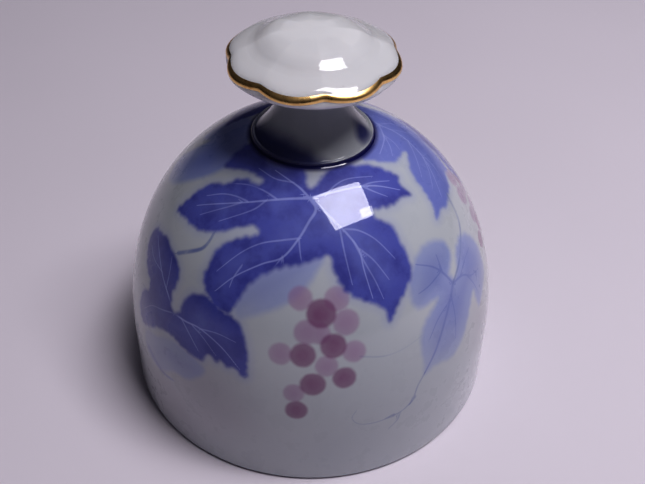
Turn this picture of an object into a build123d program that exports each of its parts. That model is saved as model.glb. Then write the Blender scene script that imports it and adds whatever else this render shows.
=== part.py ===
"""Porcelain table bell: a domed bell on its mouth, a trumpet stem with a scalloped
knob and a gilt edge, and a clapper ball on a fine chain inside.

Frame: the origin is the centre of the mouth on the table, +Z runs up through the knob.
Units are millimetres and degrees.
"""
from build123d import *
import math
import os

# ---------------------------------------------------------------- driving dimensions
# Bell
MOUTH_DIAMETER = 76.0        # outside, at the mouth and along the straight wall
STRAIGHT_WALL_HEIGHT = 12.0  # the wall is upright up to here
DOME_RISE = 46.0             # from the top of the straight wall to the crown
DOME_EXPONENT = 2.19         # 2 is an ellipse, more is squarer in the shoulder
WALL_THICKNESS = 2.6
CROWN_THICKNESS = 3.2
LIP_OUTER_ROUND = 0.9
LIP_INNER_ROUND = 0.7
VENT_DIAMETER = 6.0          # hole in the crown, under the hollow stem

# Stem, a hollow trumpet luted onto the dome
STEM_FOOT_DIAMETER = 22.9
STEM_LIP_HEIGHT = 0.7        # upright edge of the foot above the dome
STEM_FLARE_ANGLE = 32.0      # slope of the trumpet just inside its lip
STEM_NECK_DIAMETER = 10.4
STEM_HEIGHT = 12.6           # from the edge of the foot to the knob's seat
STEM_WALL = 2.0

# Knob, a hollow scalloped lens luted onto the neck
KNOB_DIAMETER = 32.0         # across the lobes
LOBE_COUNT = 8
LOBE_DEPTH = 1.0             # from a lobe's tip to a notch, along the radius
LOBE_PHASE = 7.0             # turn of the first notch from the front, towards +X
NOTCH_SHARPNESS = 1.6        # 1 is a plain sine, more is a narrower notch
KNOB_RIM_HEIGHT = 4.5        # from the seat to the rim at a lobe's tip
KNOB_CROWN_RISE = 1.35       # from the rim to the top, without the boss
BOSS_RISE = 3.1              # boss in the middle of the top
BOSS_DIAMETER = 26.0
KNOB_EDGE_ROUND = 0.5
BOWL_DEPTH = 4.6             # underside, a quarter ellipse that rises from the neck
BOWL_OVERRUN = 0.8           # how far that ellipse would run past a lobe's tip
KNOB_WALL = 2.0
KNOB_CAVITY_LAND = 5.0       # solid clay between the hollow and the edge
GILT_THICKNESS = 0.25
GILT_HEIGHT = 1.0
GILT_DROP = 0.15             # from the rim down to the gilding

# Cement plug and the wire loop that it holds
PLUG_HEAD_DIAMETER = 9.0     # spread inside the stem, above the crown
PLUG_HEAD_HEIGHT = 2.0
PLUG_SKIN = 0.6              # spread below the crown, inside the bell
PLUG_SKIN_DIAMETER = 10.0
HANGER_WIRE_DIAMETER = 1.0
HANGER_SPREAD = 3.6          # between the centres of the two legs
HANGER_DROP = 5.0            # from the inner crown to the loop's lowest centre

# Chain and clapper
LINK_COUNT = 5
LINK_WIRE_DIAMETER = 0.9
LINK_LENGTH = 6.4            # outside
LINK_WIDTH = 3.8             # outside
LINK_CLEARANCE = 0.15        # between a link and the wire that it hangs on
PIN_DIAMETER = 0.9
PIN_EYE_DIAMETER = 3.8       # outside
PIN_EYE_GAP = 0.4            # between the eye and the top of the ball
BALL_DIAMETER = 16.0
BALL_FLAT_DIAMETER = 3.2     # ground flats at the two ends of the bore
BALL_BORE_CLEARANCE = 0.08   # radial
BALL_END_CLEARANCE = 0.05    # between the ball and the stop bead
BEAD_DIAMETER = 2.6
BEAD_LENGTH = 1.5
PIN_TAIL = 0.5               # pin left standing below the bead

# ---------------------------------------------------------------- sizes that follow
MOUTH_RADIUS = MOUTH_DIAMETER / 2
CROWN_Z = STRAIGHT_WALL_HEIGHT + DOME_RISE
INNER_CROWN_Z = CROWN_Z - CROWN_THICKNESS
VENT_RADIUS = VENT_DIAMETER / 2
STEM_FOOT_RADIUS = STEM_FOOT_DIAMETER / 2
STEM_NECK_RADIUS = STEM_NECK_DIAMETER / 2
KNOB_RADIUS = KNOB_DIAMETER / 2
BOSS_RADIUS = BOSS_DIAMETER / 2
CURVE_STEPS = 8              # spans of the dome's meridian
LOBE_STEPS = 6               # spans of the knob's outline in each lobe
CROWN_STEPS = 8              # spans of the knob's boss, from its edge to its middle


def dome_height(radius, base_radius, rise):
    """Height of a superellipse dome above its base, at a distance from the axis."""
    share = (radius / base_radius) ** DOME_EXPONENT
    return rise * (1 - share) ** (1 / DOME_EXPONENT)


def dome_slope(radius, base_radius, rise):
    """Rise over run of the same meridian, negative because it falls outwards."""
    share = (radius / base_radius) ** DOME_EXPONENT
    return -rise * share / radius * (1 - share) ** (1 / DOME_EXPONENT - 1)


FOOT_Z = STRAIGHT_WALL_HEIGHT + dome_height(STEM_FOOT_RADIUS, MOUTH_RADIUS, DOME_RISE)
SEAT_Z = FOOT_Z + STEM_HEIGHT
RIM_Z = SEAT_Z + KNOB_RIM_HEIGHT
TOP_Z = RIM_Z + KNOB_CROWN_RISE + BOSS_RISE

HANGER_Z = INNER_CROWN_Z - HANGER_DROP
HANG_STEP = LINK_WIRE_DIAMETER + LINK_CLEARANCE
LINK_PITCH = LINK_LENGTH - LINK_WIRE_DIAMETER - HANG_STEP
HANGER_STEP = (HANGER_WIRE_DIAMETER + LINK_WIRE_DIAMETER) / 2 + LINK_CLEARANCE
FIRST_LINK_BOTTOM_Z = HANGER_Z + HANGER_STEP - (LINK_LENGTH - LINK_WIRE_DIAMETER)
LINK_BOTTOM_ZS = [FIRST_LINK_BOTTOM_Z - i * LINK_PITCH for i in range(LINK_COUNT)]
PIN_STEP = (LINK_WIRE_DIAMETER + PIN_DIAMETER) / 2 + LINK_CLEARANCE
PIN_EYE_RADIUS = (PIN_EYE_DIAMETER - PIN_DIAMETER) / 2
PIN_EYE_Z = LINK_BOTTOM_ZS[-1] + PIN_STEP - PIN_EYE_RADIUS
BALL_FLAT_RADIUS = BALL_FLAT_DIAMETER / 2
BALL_HALF_HEIGHT = math.sqrt((BALL_DIAMETER / 2) ** 2 - BALL_FLAT_RADIUS ** 2)
BALL_TOP_Z = PIN_EYE_Z - PIN_EYE_DIAMETER / 2 - PIN_EYE_GAP
BALL_Z = BALL_TOP_Z - BALL_HALF_HEIGHT
BEAD_TOP_Z = BALL_Z - BALL_HALF_HEIGHT - BALL_END_CLEARANCE
PIN_BOTTOM_Z = BEAD_TOP_Z - BEAD_LENGTH - PIN_TAIL


# ---------------------------------------------------------------- shared shapes
def turned(edges):
    """Solid of revolution about Z from a closed outline drawn as x = radius, y = height."""
    outline = Plane.XZ * make_face(edges)
    return revolve(outline, axis=Axis.Z)


def dome_meridian(base_radius, rise, end_radius):
    """Spline from the top of the straight wall to end_radius, on the superellipse."""
    end_height = dome_height(end_radius, base_radius, rise)
    end_turn = math.asin((end_height / rise) ** (DOME_EXPONENT / 2))
    points = []
    for i in range(CURVE_STEPS + 1):
        turn = end_turn * i / CURVE_STEPS
        radius = base_radius * math.cos(turn) ** (2 / DOME_EXPONENT)
        height = rise * math.sin(turn) ** (2 / DOME_EXPONENT)
        points.append((radius, STRAIGHT_WALL_HEIGHT + height))
    slope = dome_slope(end_radius, base_radius, rise)
    return Spline(points, tangents=[(0, 1), (-1, -slope)])


def dome_block():
    """The bell's outside as one full block, used to seat the stem on the dome."""
    curve = dome_meridian(MOUTH_RADIUS, DOME_RISE, VENT_RADIUS)
    wall = Polyline((0, 0), (MOUTH_RADIUS, 0), (MOUTH_RADIUS, STRAIGHT_WALL_HEIGHT))
    cap = Polyline(curve @ 1, (0, (curve @ 1).Y), (0, 0))
    return turned(wall.edges() + curve.edges() + cap.edges())


def rod_along(path, diameter):
    """Round wire swept along a path that starts where its first edge starts."""
    section = Plane(origin=path @ 0, z_dir=path % 0) * Circle(diameter / 2)
    return sweep(section, path=path)


# ---------------------------------------------------------------- bell and handle
def make_bell_shell():
    """Thrown dome with a flat ground mouth and a vent hole through its crown."""
    inner_radius = MOUTH_RADIUS - WALL_THICKNESS
    inner_rise = INNER_CROWN_Z - STRAIGHT_WALL_HEIGHT
    outside = dome_meridian(MOUTH_RADIUS, DOME_RISE, VENT_RADIUS)
    inside = dome_meridian(inner_radius, inner_rise, VENT_RADIUS)
    lip = Polyline((inner_radius, STRAIGHT_WALL_HEIGHT), (inner_radius, 0),
                   (MOUTH_RADIUS, 0), (MOUTH_RADIUS, STRAIGHT_WALL_HEIGHT))
    vent = Line(outside @ 1, inside @ 1)
    shell = turned(lip.edges() + outside.edges() + vent.edges() + inside.edges())
    mouth_edges = shell.edges().filter_by(GeomType.CIRCLE).group_by(Axis.Z)[0].sort_by(SortBy.RADIUS)
    shell = fillet(mouth_edges[-1], LIP_OUTER_ROUND)
    mouth_edges = shell.edges().filter_by(GeomType.CIRCLE).group_by(Axis.Z)[0].sort_by(SortBy.RADIUS)
    return fillet(mouth_edges[0], LIP_INNER_ROUND)


def stem_curve(foot_radius, foot_z, neck_radius, neck_z):
    """Concave trumpet meridian, upright at the neck and sloping at the foot."""
    slope = math.radians(STEM_FLARE_ANGLE)
    return Spline((foot_radius, foot_z), (neck_radius, neck_z),
                  tangents=[(-math.cos(slope), math.sin(slope)), (0, 1)])


def make_handle_stem():
    """Hollow trumpet whose foot is cut to the dome that it stands on."""
    lip_z = FOOT_Z + STEM_LIP_HEIGHT
    outside = stem_curve(STEM_FOOT_RADIUS, lip_z, STEM_NECK_RADIUS, SEAT_Z)
    inside = stem_curve(STEM_FOOT_RADIUS - STEM_WALL, lip_z - STEM_WALL,
                        STEM_NECK_RADIUS - STEM_WALL, SEAT_Z)
    below = STRAIGHT_WALL_HEIGHT
    foot = Polyline(inside @ 0, (STEM_FOOT_RADIUS - STEM_WALL, below), (STEM_FOOT_RADIUS, below), outside @ 0)
    seat = Line(outside @ 1, inside @ 1)
    stem = turned(foot.edges() + outside.edges() + seat.edges() + inside.edges())
    return stem - dome_block()


def scalloped_prism(inset):
    """Upright prism on the knob's scalloped outline, drawn in by inset."""
    step_count = LOBE_COUNT * LOBE_STEPS
    points = []
    for i in range(step_count):
        turn = 2 * math.pi * i / step_count
        notch = ((1 + math.cos(LOBE_COUNT * turn)) / 2) ** NOTCH_SHARPNESS
        radius = KNOB_RADIUS - inset - LOBE_DEPTH * notch
        bearing = turn + math.radians(LOBE_PHASE - 90)
        points.append((radius * math.cos(bearing), radius * math.sin(bearing)))
    outline = make_face(Spline(points, periodic=True))
    return Pos(0, 0, SEAT_Z) * extrude(outline, TOP_Z - SEAT_Z)


def crown_ball_radius():
    """Radius of the ball that the shallow part of the knob's top belongs to."""
    return (KNOB_RADIUS ** 2 + KNOB_CROWN_RISE ** 2) / (2 * KNOB_CROWN_RISE)


def crown_height(radius):
    """Height of the knob's top at a distance from the axis: a ball-shaped cap and a boss."""
    ball_radius = crown_ball_radius()
    cap = math.sqrt(ball_radius ** 2 - radius ** 2) - (ball_radius - KNOB_CROWN_RISE)
    boss = BOSS_RISE * (1 + math.cos(math.pi * min(radius / BOSS_RADIUS, 1))) / 2
    return RIM_Z + cap + boss


def crown_slope(radius):
    """Rise over run of the same curve, negative because it falls outwards."""
    cap = -radius / math.sqrt(crown_ball_radius() ** 2 - radius ** 2)
    steepest = -math.pi * BOSS_RISE / (2 * BOSS_RADIUS)
    return cap + steepest * math.sin(math.pi * min(radius / BOSS_RADIUS, 1))


def boss_meridian(edge_radius, drop):
    """Spline from edge_radius to the axis, drop below the knob's top."""
    points = []
    for i in range(CROWN_STEPS + 1):
        radius = edge_radius * (1 - i / CROWN_STEPS)
        points.append((radius, crown_height(radius) - drop))
    return Spline(points, tangents=[(-1, -crown_slope(edge_radius)), (-1, 0)])


def bowl_height(radius):
    """Height of the knob's underside at a distance from the axis, on its quarter ellipse."""
    share = (radius - STEM_NECK_RADIUS) / (KNOB_RADIUS + BOWL_OVERRUN - STEM_NECK_RADIUS)
    return SEAT_Z + BOWL_DEPTH * (1 - math.sqrt(1 - share ** 2))


def solid_knob():
    """Knob with no hollow: a turned lens cut to the scalloped outline, its rim rounded."""
    edge_radius = KNOB_RADIUS + BOWL_OVERRUN
    bowl = EllipticalCenterArc((STEM_NECK_RADIUS, SEAT_Z + BOWL_DEPTH), edge_radius - STEM_NECK_RADIUS,
                               BOWL_DEPTH, start_angle=270, arc_size=90)
    mean_radius = (edge_radius + BOSS_RADIUS) / 2
    cap = ThreePointArc((edge_radius, crown_height(edge_radius)), (mean_radius, crown_height(mean_radius)),
                        (BOSS_RADIUS, crown_height(BOSS_RADIUS)))
    boss = boss_meridian(BOSS_RADIUS, 0)
    edge = Line(bowl @ 1, cap @ 0)
    core = Polyline((0, TOP_Z), (0, SEAT_Z), (STEM_NECK_RADIUS, SEAT_Z))
    lens = turned(bowl.edges() + edge.edges() + cap.edges() + boss.edges() + core.edges())
    knob = lens & scalloped_prism(0)
    outline_edges = knob.edges().filter_by(GeomType.BSPLINE)
    below_boss = outline_edges.filter_by_position(Axis.Z, SEAT_Z, RIM_Z + KNOB_CROWN_RISE)
    return fillet(below_boss.group_by(Axis.Z)[-1], KNOB_EDGE_ROUND)


def knob_hollow():
    """Hollow inside the knob that follows its top, open to the stem's bore."""
    bore_radius = STEM_NECK_RADIUS - STEM_WALL
    roof = boss_meridian(KNOB_RADIUS - KNOB_CAVITY_LAND, KNOB_WALL)
    floor = Polyline(roof @ 1, (0, SEAT_Z), (bore_radius, SEAT_Z),
                     (bore_radius, SEAT_Z + KNOB_WALL), roof @ 0)
    return turned(floor.edges() + roof.edges())


def make_knob_and_gilt():
    """Scalloped knob, and the gilding as a thin ring let into its edge."""
    full = solid_knob()
    band_z = RIM_Z - GILT_DROP - GILT_HEIGHT / 2
    groove = Pos(0, 0, band_z) * Cylinder(KNOB_DIAMETER, GILT_HEIGHT) - scalloped_prism(GILT_THICKNESS)
    return full - groove - knob_hollow(), full & groove


# ---------------------------------------------------------------- plug, chain, clapper
def make_hanger_eye():
    """Wire loop with two legs up into the cement plug."""
    half = HANGER_SPREAD / 2
    arc_z = HANGER_Z + half
    leg_top = CROWN_Z + PLUG_HEAD_HEIGHT / 2
    left = Line((-half, 0, leg_top), (-half, 0, arc_z))
    bend = ThreePointArc((-half, 0, arc_z), (0, 0, HANGER_Z), (half, 0, arc_z))
    right = Line((half, 0, arc_z), (half, 0, leg_top))
    return rod_along(Wire([left, bend, right]), HANGER_WIRE_DIAMETER)


def make_crown_plug(hanger):
    """Cement cast in the vent, spread above and below the crown, around the loop's legs."""
    inner_radius = MOUTH_RADIUS - WALL_THICKNESS
    inner_rise = INNER_CROWN_Z - STRAIGHT_WALL_HEIGHT
    skin_radius = PLUG_SKIN_DIAMETER / 2
    skin_z = STRAIGHT_WALL_HEIGHT + dome_height(skin_radius, inner_radius, inner_rise)
    skin = turned(Polyline((0, skin_z - PLUG_SKIN), (VENT_RADIUS, skin_z - PLUG_SKIN), (skin_radius, skin_z),
                           (skin_radius, CROWN_Z), (0, CROWN_Z), close=True).edges())
    inside = dome_meridian(inner_radius, inner_rise, VENT_RADIUS)
    vent_z = (inside @ 1).Y
    room_edges = Polyline(inside @ 1, (0, vent_z), (0, 0), (inner_radius, 0), inside @ 0)
    skin = skin & turned(inside.edges() + room_edges.edges())
    shank_height = CROWN_Z - vent_z
    shank = Pos(0, 0, vent_z + shank_height / 2) * Cylinder(VENT_RADIUS, shank_height)
    head = Pos(0, 0, CROWN_Z + PLUG_HEAD_HEIGHT / 2) * Cylinder(PLUG_HEAD_DIAMETER / 2, PLUG_HEAD_HEIGHT)
    skirt = Pos(0, 0, CROWN_Z / 2) * Cylinder(PLUG_HEAD_DIAMETER / 2, CROWN_Z) - dome_block()
    return skin + shank + head + skirt - hanger


def make_chain_link(bottom_z, turn):
    """Oval link standing upright, its lowest wire centre at bottom_z, its plane turned about Z."""
    bend_radius = (LINK_WIDTH - LINK_WIRE_DIAMETER) / 2
    low_z = bottom_z + bend_radius
    high_z = bottom_z + LINK_LENGTH - LINK_WIRE_DIAMETER - bend_radius
    right = Line((bend_radius, 0, low_z), (bend_radius, 0, high_z))
    top = ThreePointArc(right @ 1, (0, 0, high_z + bend_radius), (-bend_radius, 0, high_z))
    left = Line(top @ 1, (-bend_radius, 0, low_z))
    bottom = ThreePointArc(left @ 1, (0, 0, bottom_z), right @ 0)
    return Rot(0, 0, turn) * rod_along(Wire([right, top, left, bottom]), LINK_WIRE_DIAMETER)


def make_clapper_pin(turn):
    """Wire with a round eye at its top and a straight shank through the ball."""
    eye = Pos(0, 0, PIN_EYE_Z) * Rot(90, 0, 0) * Torus(PIN_EYE_RADIUS, PIN_DIAMETER / 2)
    shank_length = PIN_EYE_Z - PIN_EYE_RADIUS - PIN_BOTTOM_Z
    shank = Pos(0, 0, PIN_BOTTOM_Z + shank_length / 2) * Cylinder(PIN_DIAMETER / 2, shank_length)
    return Rot(0, 0, turn) * (eye + shank)


def make_clapper_ball():
    """Bored ball with a ground flat at each end of the bore."""
    slab = Box(BALL_DIAMETER, BALL_DIAMETER, 2 * BALL_HALF_HEIGHT)
    bore = Cylinder(PIN_DIAMETER / 2 + BALL_BORE_CLEARANCE, BALL_DIAMETER)
    return Pos(0, 0, BALL_Z) * ((Sphere(BALL_DIAMETER / 2) & slab) - bore)


def make_stop_bead():
    """Crimped bead on the pin that the ball rests on."""
    bead = Cylinder(BEAD_DIAMETER / 2, BEAD_LENGTH)
    bead = fillet(bead.edges().filter_by(GeomType.CIRCLE), BEAD_LENGTH / 4)
    return Pos(0, 0, BEAD_TOP_Z - BEAD_LENGTH / 2) * (bead - Cylinder(PIN_DIAMETER / 2, BEAD_LENGTH))


def make_all():
    """Every node of the bell by name."""
    knob, gilt = make_knob_and_gilt()
    hanger = make_hanger_eye()
    parts = {
        "bell_shell": make_bell_shell(),
        "handle_stem": make_handle_stem(),
        "handle_knob": knob,
        "gilt_edge": gilt,
        "crown_plug": make_crown_plug(hanger),
        "hanger_eye": hanger,
    }
    for i, bottom_z in enumerate(LINK_BOTTOM_ZS):
        parts[f"chain_link_{i + 1}"] = make_chain_link(bottom_z, 90 * ((i + 1) % 2))
    parts["clapper_pin"] = make_clapper_pin(90 * ((LINK_COUNT + 1) % 2))
    parts["clapper_ball"] = make_clapper_ball()
    parts["stop_bead"] = make_stop_bead()
    return parts


os.makedirs("parts", exist_ok=True)
for name, shape in make_all().items():
    export_step(shape, f"parts/{name}.step")
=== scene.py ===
"""Looks of a porcelain table bell: painted shell, stem, gilt-edged knob and clapper chain.

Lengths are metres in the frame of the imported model: origin at the centre of the mouth,
+Z up the bell's axis, -Y the painted front. The painting is laid out in millimetres on
a sheet that wraps onto the dome.
"""

import logging
import math
from dataclasses import dataclass, field, replace
from enum import Enum

import bpy
import numpy as np
from mathutils import Matrix, Vector


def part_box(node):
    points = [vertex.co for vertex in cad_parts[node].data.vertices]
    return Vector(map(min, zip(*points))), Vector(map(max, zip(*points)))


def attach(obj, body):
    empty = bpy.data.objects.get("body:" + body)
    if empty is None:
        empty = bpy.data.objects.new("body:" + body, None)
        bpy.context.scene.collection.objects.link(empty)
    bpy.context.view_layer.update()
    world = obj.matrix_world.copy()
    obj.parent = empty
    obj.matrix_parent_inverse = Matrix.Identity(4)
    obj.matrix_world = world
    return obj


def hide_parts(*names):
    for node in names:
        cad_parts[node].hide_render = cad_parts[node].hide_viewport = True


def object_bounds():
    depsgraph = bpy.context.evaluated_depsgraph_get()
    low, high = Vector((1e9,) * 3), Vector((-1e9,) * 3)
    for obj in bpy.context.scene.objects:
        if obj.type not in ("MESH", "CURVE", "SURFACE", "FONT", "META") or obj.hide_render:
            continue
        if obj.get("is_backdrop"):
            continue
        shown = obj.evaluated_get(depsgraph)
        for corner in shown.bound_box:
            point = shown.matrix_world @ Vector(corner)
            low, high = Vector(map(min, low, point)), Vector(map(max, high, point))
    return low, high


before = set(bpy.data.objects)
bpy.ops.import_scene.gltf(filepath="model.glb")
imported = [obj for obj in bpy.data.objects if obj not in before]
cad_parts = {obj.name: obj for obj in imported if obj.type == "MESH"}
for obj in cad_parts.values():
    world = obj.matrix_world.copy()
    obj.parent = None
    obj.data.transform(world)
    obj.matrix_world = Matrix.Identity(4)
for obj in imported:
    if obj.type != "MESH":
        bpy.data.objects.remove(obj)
CAD_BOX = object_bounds()

log = logging.getLogger("porcelain_bell")
MM = 0.001
MAIN_VEIN = 0.20      # millimetres, half width from which a vein is a main one
TOOTH_PITCH = 2.2     # millimetres from one tooth of a leaf's edge to the next
FAR = 60.0            # millimetres, a distance that counts as nowhere near a painted shape


# ------------------------------------------------------------------ meshes from grids
@dataclass
class SurfaceGrid:
    """A surface as rows of points, each row a closed ring of columns.

    Attributes:
        points: array of rows by columns by 3, in metres.
        rows_close: the last row joins the first one, as on a ring-shaped solid.
        start_pole: the first row is drawn together into one point.
        end_pole: the last row is drawn together into one point.
    """

    points: np.ndarray
    rows_close: bool = False
    start_pole: bool = False
    end_pole: bool = False

    def quads(self) -> np.ndarray:
        """Corner indices of the faces between neighbouring rows and columns.

        Returns:
            Array of faces by 4, going round each cell the same way.
        """
        rows, columns = self.points.shape[:2]
        spans = rows if self.rows_close else rows - 1
        row = np.arange(spans)[:, None]
        column = np.arange(columns)[None, :]
        after = (column + 1) % columns
        above = (row + 1) % rows
        corners = [row * columns + column, row * columns + after,
                   above * columns + after, above * columns + column]
        return np.stack([c.reshape(-1) for c in corners], axis=1)

    def build(self, name: str) -> bpy.types.Object:
        """Makes the mesh object, with smooth shading and its faces pointing outwards.

        Args:
            name: the piece's name.

        Returns:
            The new object, linked to the scene, with its place in its mesh.
        """
        rows, columns = self.points.shape[:2]
        flat = self.points.reshape(-1, 3).astype(float)
        quads = self.quads()
        index = np.arange(rows * columns)
        if self.start_pole:
            index[:columns] = 0
            flat[0] = self.points[0].mean(axis=0)
        if self.end_pole:
            index[-columns:] = (rows - 1) * columns
            flat[(rows - 1) * columns] = self.points[-1].mean(axis=0)
        used, packed = np.unique(index, return_inverse=True)
        quads = packed[quads]
        flat = flat[used]
        if signed_volume(flat, quads) < 0:
            quads = quads[:, ::-1]
        faces = []
        for quad in quads.tolist():
            corners = list(dict.fromkeys(quad))
            faces.append(corners)
        mesh = bpy.data.meshes.new(name)
        mesh.from_pydata(flat.tolist(), [], faces)
        mesh.polygons.foreach_set("use_smooth", np.ones(len(faces), bool))
        mesh.update()
        piece = bpy.data.objects.new(name, mesh)
        bpy.context.scene.collection.objects.link(piece)
        return piece


def signed_volume(points: np.ndarray, quads: np.ndarray) -> float:
    """Volume inside a closed mesh, negative when its faces point inwards.

    The sum over both triangles of every quad of a . (b x c) / 6.
    """
    a, b, c, d = (points[quads[:, i]] for i in range(4))
    first = np.einsum("ij,ij->i", a, np.cross(b, c))
    second = np.einsum("ij,ij->i", a, np.cross(c, d))
    return float((first + second).sum() / 6)


def turned(profile: np.ndarray, bearings: np.ndarray) -> np.ndarray:
    """Carries a profile round the Z axis.

    Each point is (radius cos bearing, radius sin bearing, height).

    Args:
        profile: rows by 2, radius and height.
        bearings: angles of the columns, in radians.
    """
    radius = profile[:, :1]
    height = np.broadcast_to(profile[:, 1:], (len(profile), len(bearings)))
    return np.stack([radius * np.cos(bearings), radius * np.sin(bearings), height], axis=2)


def even_bearings(count: int) -> np.ndarray:
    """Angles of evenly spaced columns."""
    return np.linspace(0, 2 * math.pi, count, endpoint=False)


def arc(centre: tuple, radius: float, start: float, end: float, count: int) -> np.ndarray:
    """Points on a circle's arc, from one angle to another in degrees."""
    angle = np.radians(np.linspace(start, end, count))
    return np.stack([centre[0] + radius * np.cos(angle), centre[1] + radius * np.sin(angle)], axis=1)


def spaced(path: np.ndarray, count: int) -> np.ndarray:
    """The same path as count points, evenly spaced along its length."""
    steps = np.linalg.norm(np.diff(path, axis=0), axis=1)
    along = np.concatenate([[0], np.cumsum(steps)])
    places = np.linspace(0, along[-1], count)
    return np.stack([np.interp(places, along, path[:, k]) for k in range(path.shape[1])], axis=1)


def bezier(start: tuple, pull_a: tuple, pull_b: tuple, end: tuple, count: int) -> np.ndarray:
    """Points on a cubic curve that leaves start towards pull_a and reaches end from pull_b."""
    t = np.linspace(0, 1, count)[:, None]
    p, a, b, q = (np.array(point, float) for point in (start, pull_a, pull_b, end))
    return (1 - t) ** 3 * p + 3 * (1 - t) ** 2 * t * a + 3 * (1 - t) * t ** 2 * b + t ** 3 * q


def tube(path: np.ndarray, normal: tuple, radius: np.ndarray, closed: bool, sides: int = 20) -> SurfaceGrid:
    """Round wire along a path that lies in one plane.

    Each ring is path + radius (cos a side + sin a normal), where side is normal x tangent.
    An open wire gets rounded ends, each a half ball of rings.

    Args:
        path: points along the centre line.
        normal: unit vector square to the path's plane.
        radius: wire radius at each point.
        closed: the path's end joins its start.
        sides: points round each ring.
    """
    if closed:
        tangent = np.roll(path, -1, axis=0) - np.roll(path, 1, axis=0)
    else:
        tangent = np.gradient(path, axis=0)
    tangent /= np.linalg.norm(tangent, axis=1)[:, None]
    if not closed:
        lift = np.radians(np.linspace(90, 0, 6, endpoint=False))
        head = path[0] - np.outer(np.sin(lift) * radius[0], tangent[0])
        tail = path[-1] + np.outer(np.sin(lift[::-1]) * radius[-1], tangent[-1])
        path = np.concatenate([head, path, tail])
        radius = np.concatenate([np.cos(lift) * radius[0], radius, np.cos(lift[::-1]) * radius[-1]])
        ends = (np.repeat(tangent[:1], len(lift), axis=0), np.repeat(tangent[-1:], len(lift), axis=0))
        tangent = np.concatenate([ends[0], tangent, ends[1]])
    normal = np.array(normal, float)
    side = np.cross(normal, tangent)
    angle = even_bearings(sides)[None, :, None]
    ring = np.cos(angle) * side[:, None, :] + np.sin(angle) * normal
    points = path[:, None, :] + radius[:, None, None] * ring
    return SurfaceGrid(points, rows_close=closed, start_pole=not closed, end_pole=not closed)


# ------------------------------------------------------------------ node materials
class NodeBoard:
    """Short ways to lay out one material's nodes."""

    def __init__(self, name: str) -> None:
        """Starts an empty node material."""
        self.material = bpy.data.materials.new(name)
        self.material.use_nodes = True
        self.tree = self.material.node_tree
        self.tree.nodes.clear()
        self.output = self.tree.nodes.new("ShaderNodeOutputMaterial")
        self.coordinates = self.tree.nodes.new("ShaderNodeTexCoord").outputs["Object"]

    def put(self, socket: bpy.types.NodeSocket, value: object) -> None:
        """Links a socket to another, or sets its number or colour."""
        if isinstance(value, bpy.types.NodeSocket):
            self.tree.links.new(value, socket)
        elif isinstance(value, tuple) and len(value) == 3 and socket.type == "RGBA":
            socket.default_value = (*value, 1.0)
        else:
            socket.default_value = value

    def maths(self, operation: str, *values: object, clamp: bool = False) -> bpy.types.NodeSocket:
        """One Math node on up to three values."""
        node = self.tree.nodes.new("ShaderNodeMath")
        node.operation = operation
        node.use_clamp = clamp
        for socket, value in zip(node.inputs, values):
            self.put(socket, value)
        return node.outputs[0]

    def attribute(self, name: str) -> bpy.types.NodeSocket:
        """The value of a number that the mesh carries at each point."""
        node = self.tree.nodes.new("ShaderNodeAttribute")
        node.attribute_name = name
        return node.outputs["Fac"]

    def noise(self, scale: float, detail: float = 2.0, roughness: float = 0.5,
              distortion: float = 0.0) -> bpy.types.NodeSocket:
        """Smooth noise from 0 to 1 on the piece's own coordinates."""
        node = self.tree.nodes.new("ShaderNodeTexNoise")
        self.put(node.inputs["Vector"], self.coordinates)
        for key, value in (("Scale", scale), ("Detail", detail), ("Roughness", roughness),
                           ("Distortion", distortion)):
            node.inputs[key].default_value = value
        return node.outputs["Fac"]

    def ramp(self, value: object, low: float, high: float, to_low: object = 0.0,
             to_high: object = 1.0) -> bpy.types.NodeSocket:
        """Smooth step from to_low at low to to_high at high."""
        node = self.tree.nodes.new("ShaderNodeMapRange")
        node.interpolation_type = "SMOOTHSTEP"
        for socket, given in zip(node.inputs, (value, low, high, to_low, to_high)):
            self.put(socket, given)
        return node.outputs[0]

    def mix(self, share: object, under: object, over: object, blend: str = "MIX") -> bpy.types.NodeSocket:
        """Colour over another colour, by a share from 0 to 1."""
        node = self.tree.nodes.new("ShaderNodeMix")
        node.data_type = "RGBA"
        node.blend_type = blend
        self.put(node.inputs["Factor"], share)
        self.put(node.inputs["A"], under)
        self.put(node.inputs["B"], over)
        return node.outputs["Result"]

    def bump(self, height: object, strength: float, distance: float) -> bpy.types.NodeSocket:
        """Normal tilted by a height pattern."""
        node = self.tree.nodes.new("ShaderNodeBump")
        node.inputs["Strength"].default_value = strength
        node.inputs["Distance"].default_value = distance
        self.put(node.inputs["Height"], height)
        return node.outputs["Normal"]

    def finish(self, **values: object) -> bpy.types.Material:
        """Ends the material in a Principled shader.

        Args:
            values: socket names with spaces as underscores, and what each one gets.
        """
        shader = self.tree.nodes.new("ShaderNodeBsdfPrincipled")
        for key, value in values.items():
            self.put(shader.inputs[key.replace("_", " ")], value)
        self.tree.links.new(shader.outputs[0], self.output.inputs["Surface"])
        return self.material


@dataclass(frozen=True)
class ClearGlaze:
    """Glassy coat over fired clay."""

    ior: float = 1.5
    coat_roughness: float = 0.02
    ripple: float = 0.004        # strength of the glaze's slow waviness
    ripple_depth: float = 0.0004
    glow: float = 0.35           # how much light spreads through the clay
    glow_reach: float = 0.0022

    def finish(self, board: NodeBoard, colour: object, roughness: object) -> bpy.types.Material:
        """Ends a board as glazed porcelain of that colour, mirrored only by its glaze."""
        waves = board.noise(38.0, 1.0, 0.4)
        normal = board.bump(waves, self.ripple, self.ripple_depth)
        return board.finish(Base_Color=colour, Roughness=roughness, IOR=self.ior, Specular_IOR_Level=0.08,
                            Coat_Weight=1.0, Coat_Roughness=self.coat_roughness, Coat_IOR=self.ior,
                            Coat_Normal=normal, Subsurface_Weight=self.glow,
                            Subsurface_Radius=(1.0, 0.95, 0.9), Subsurface_Scale=self.glow_reach)


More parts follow.
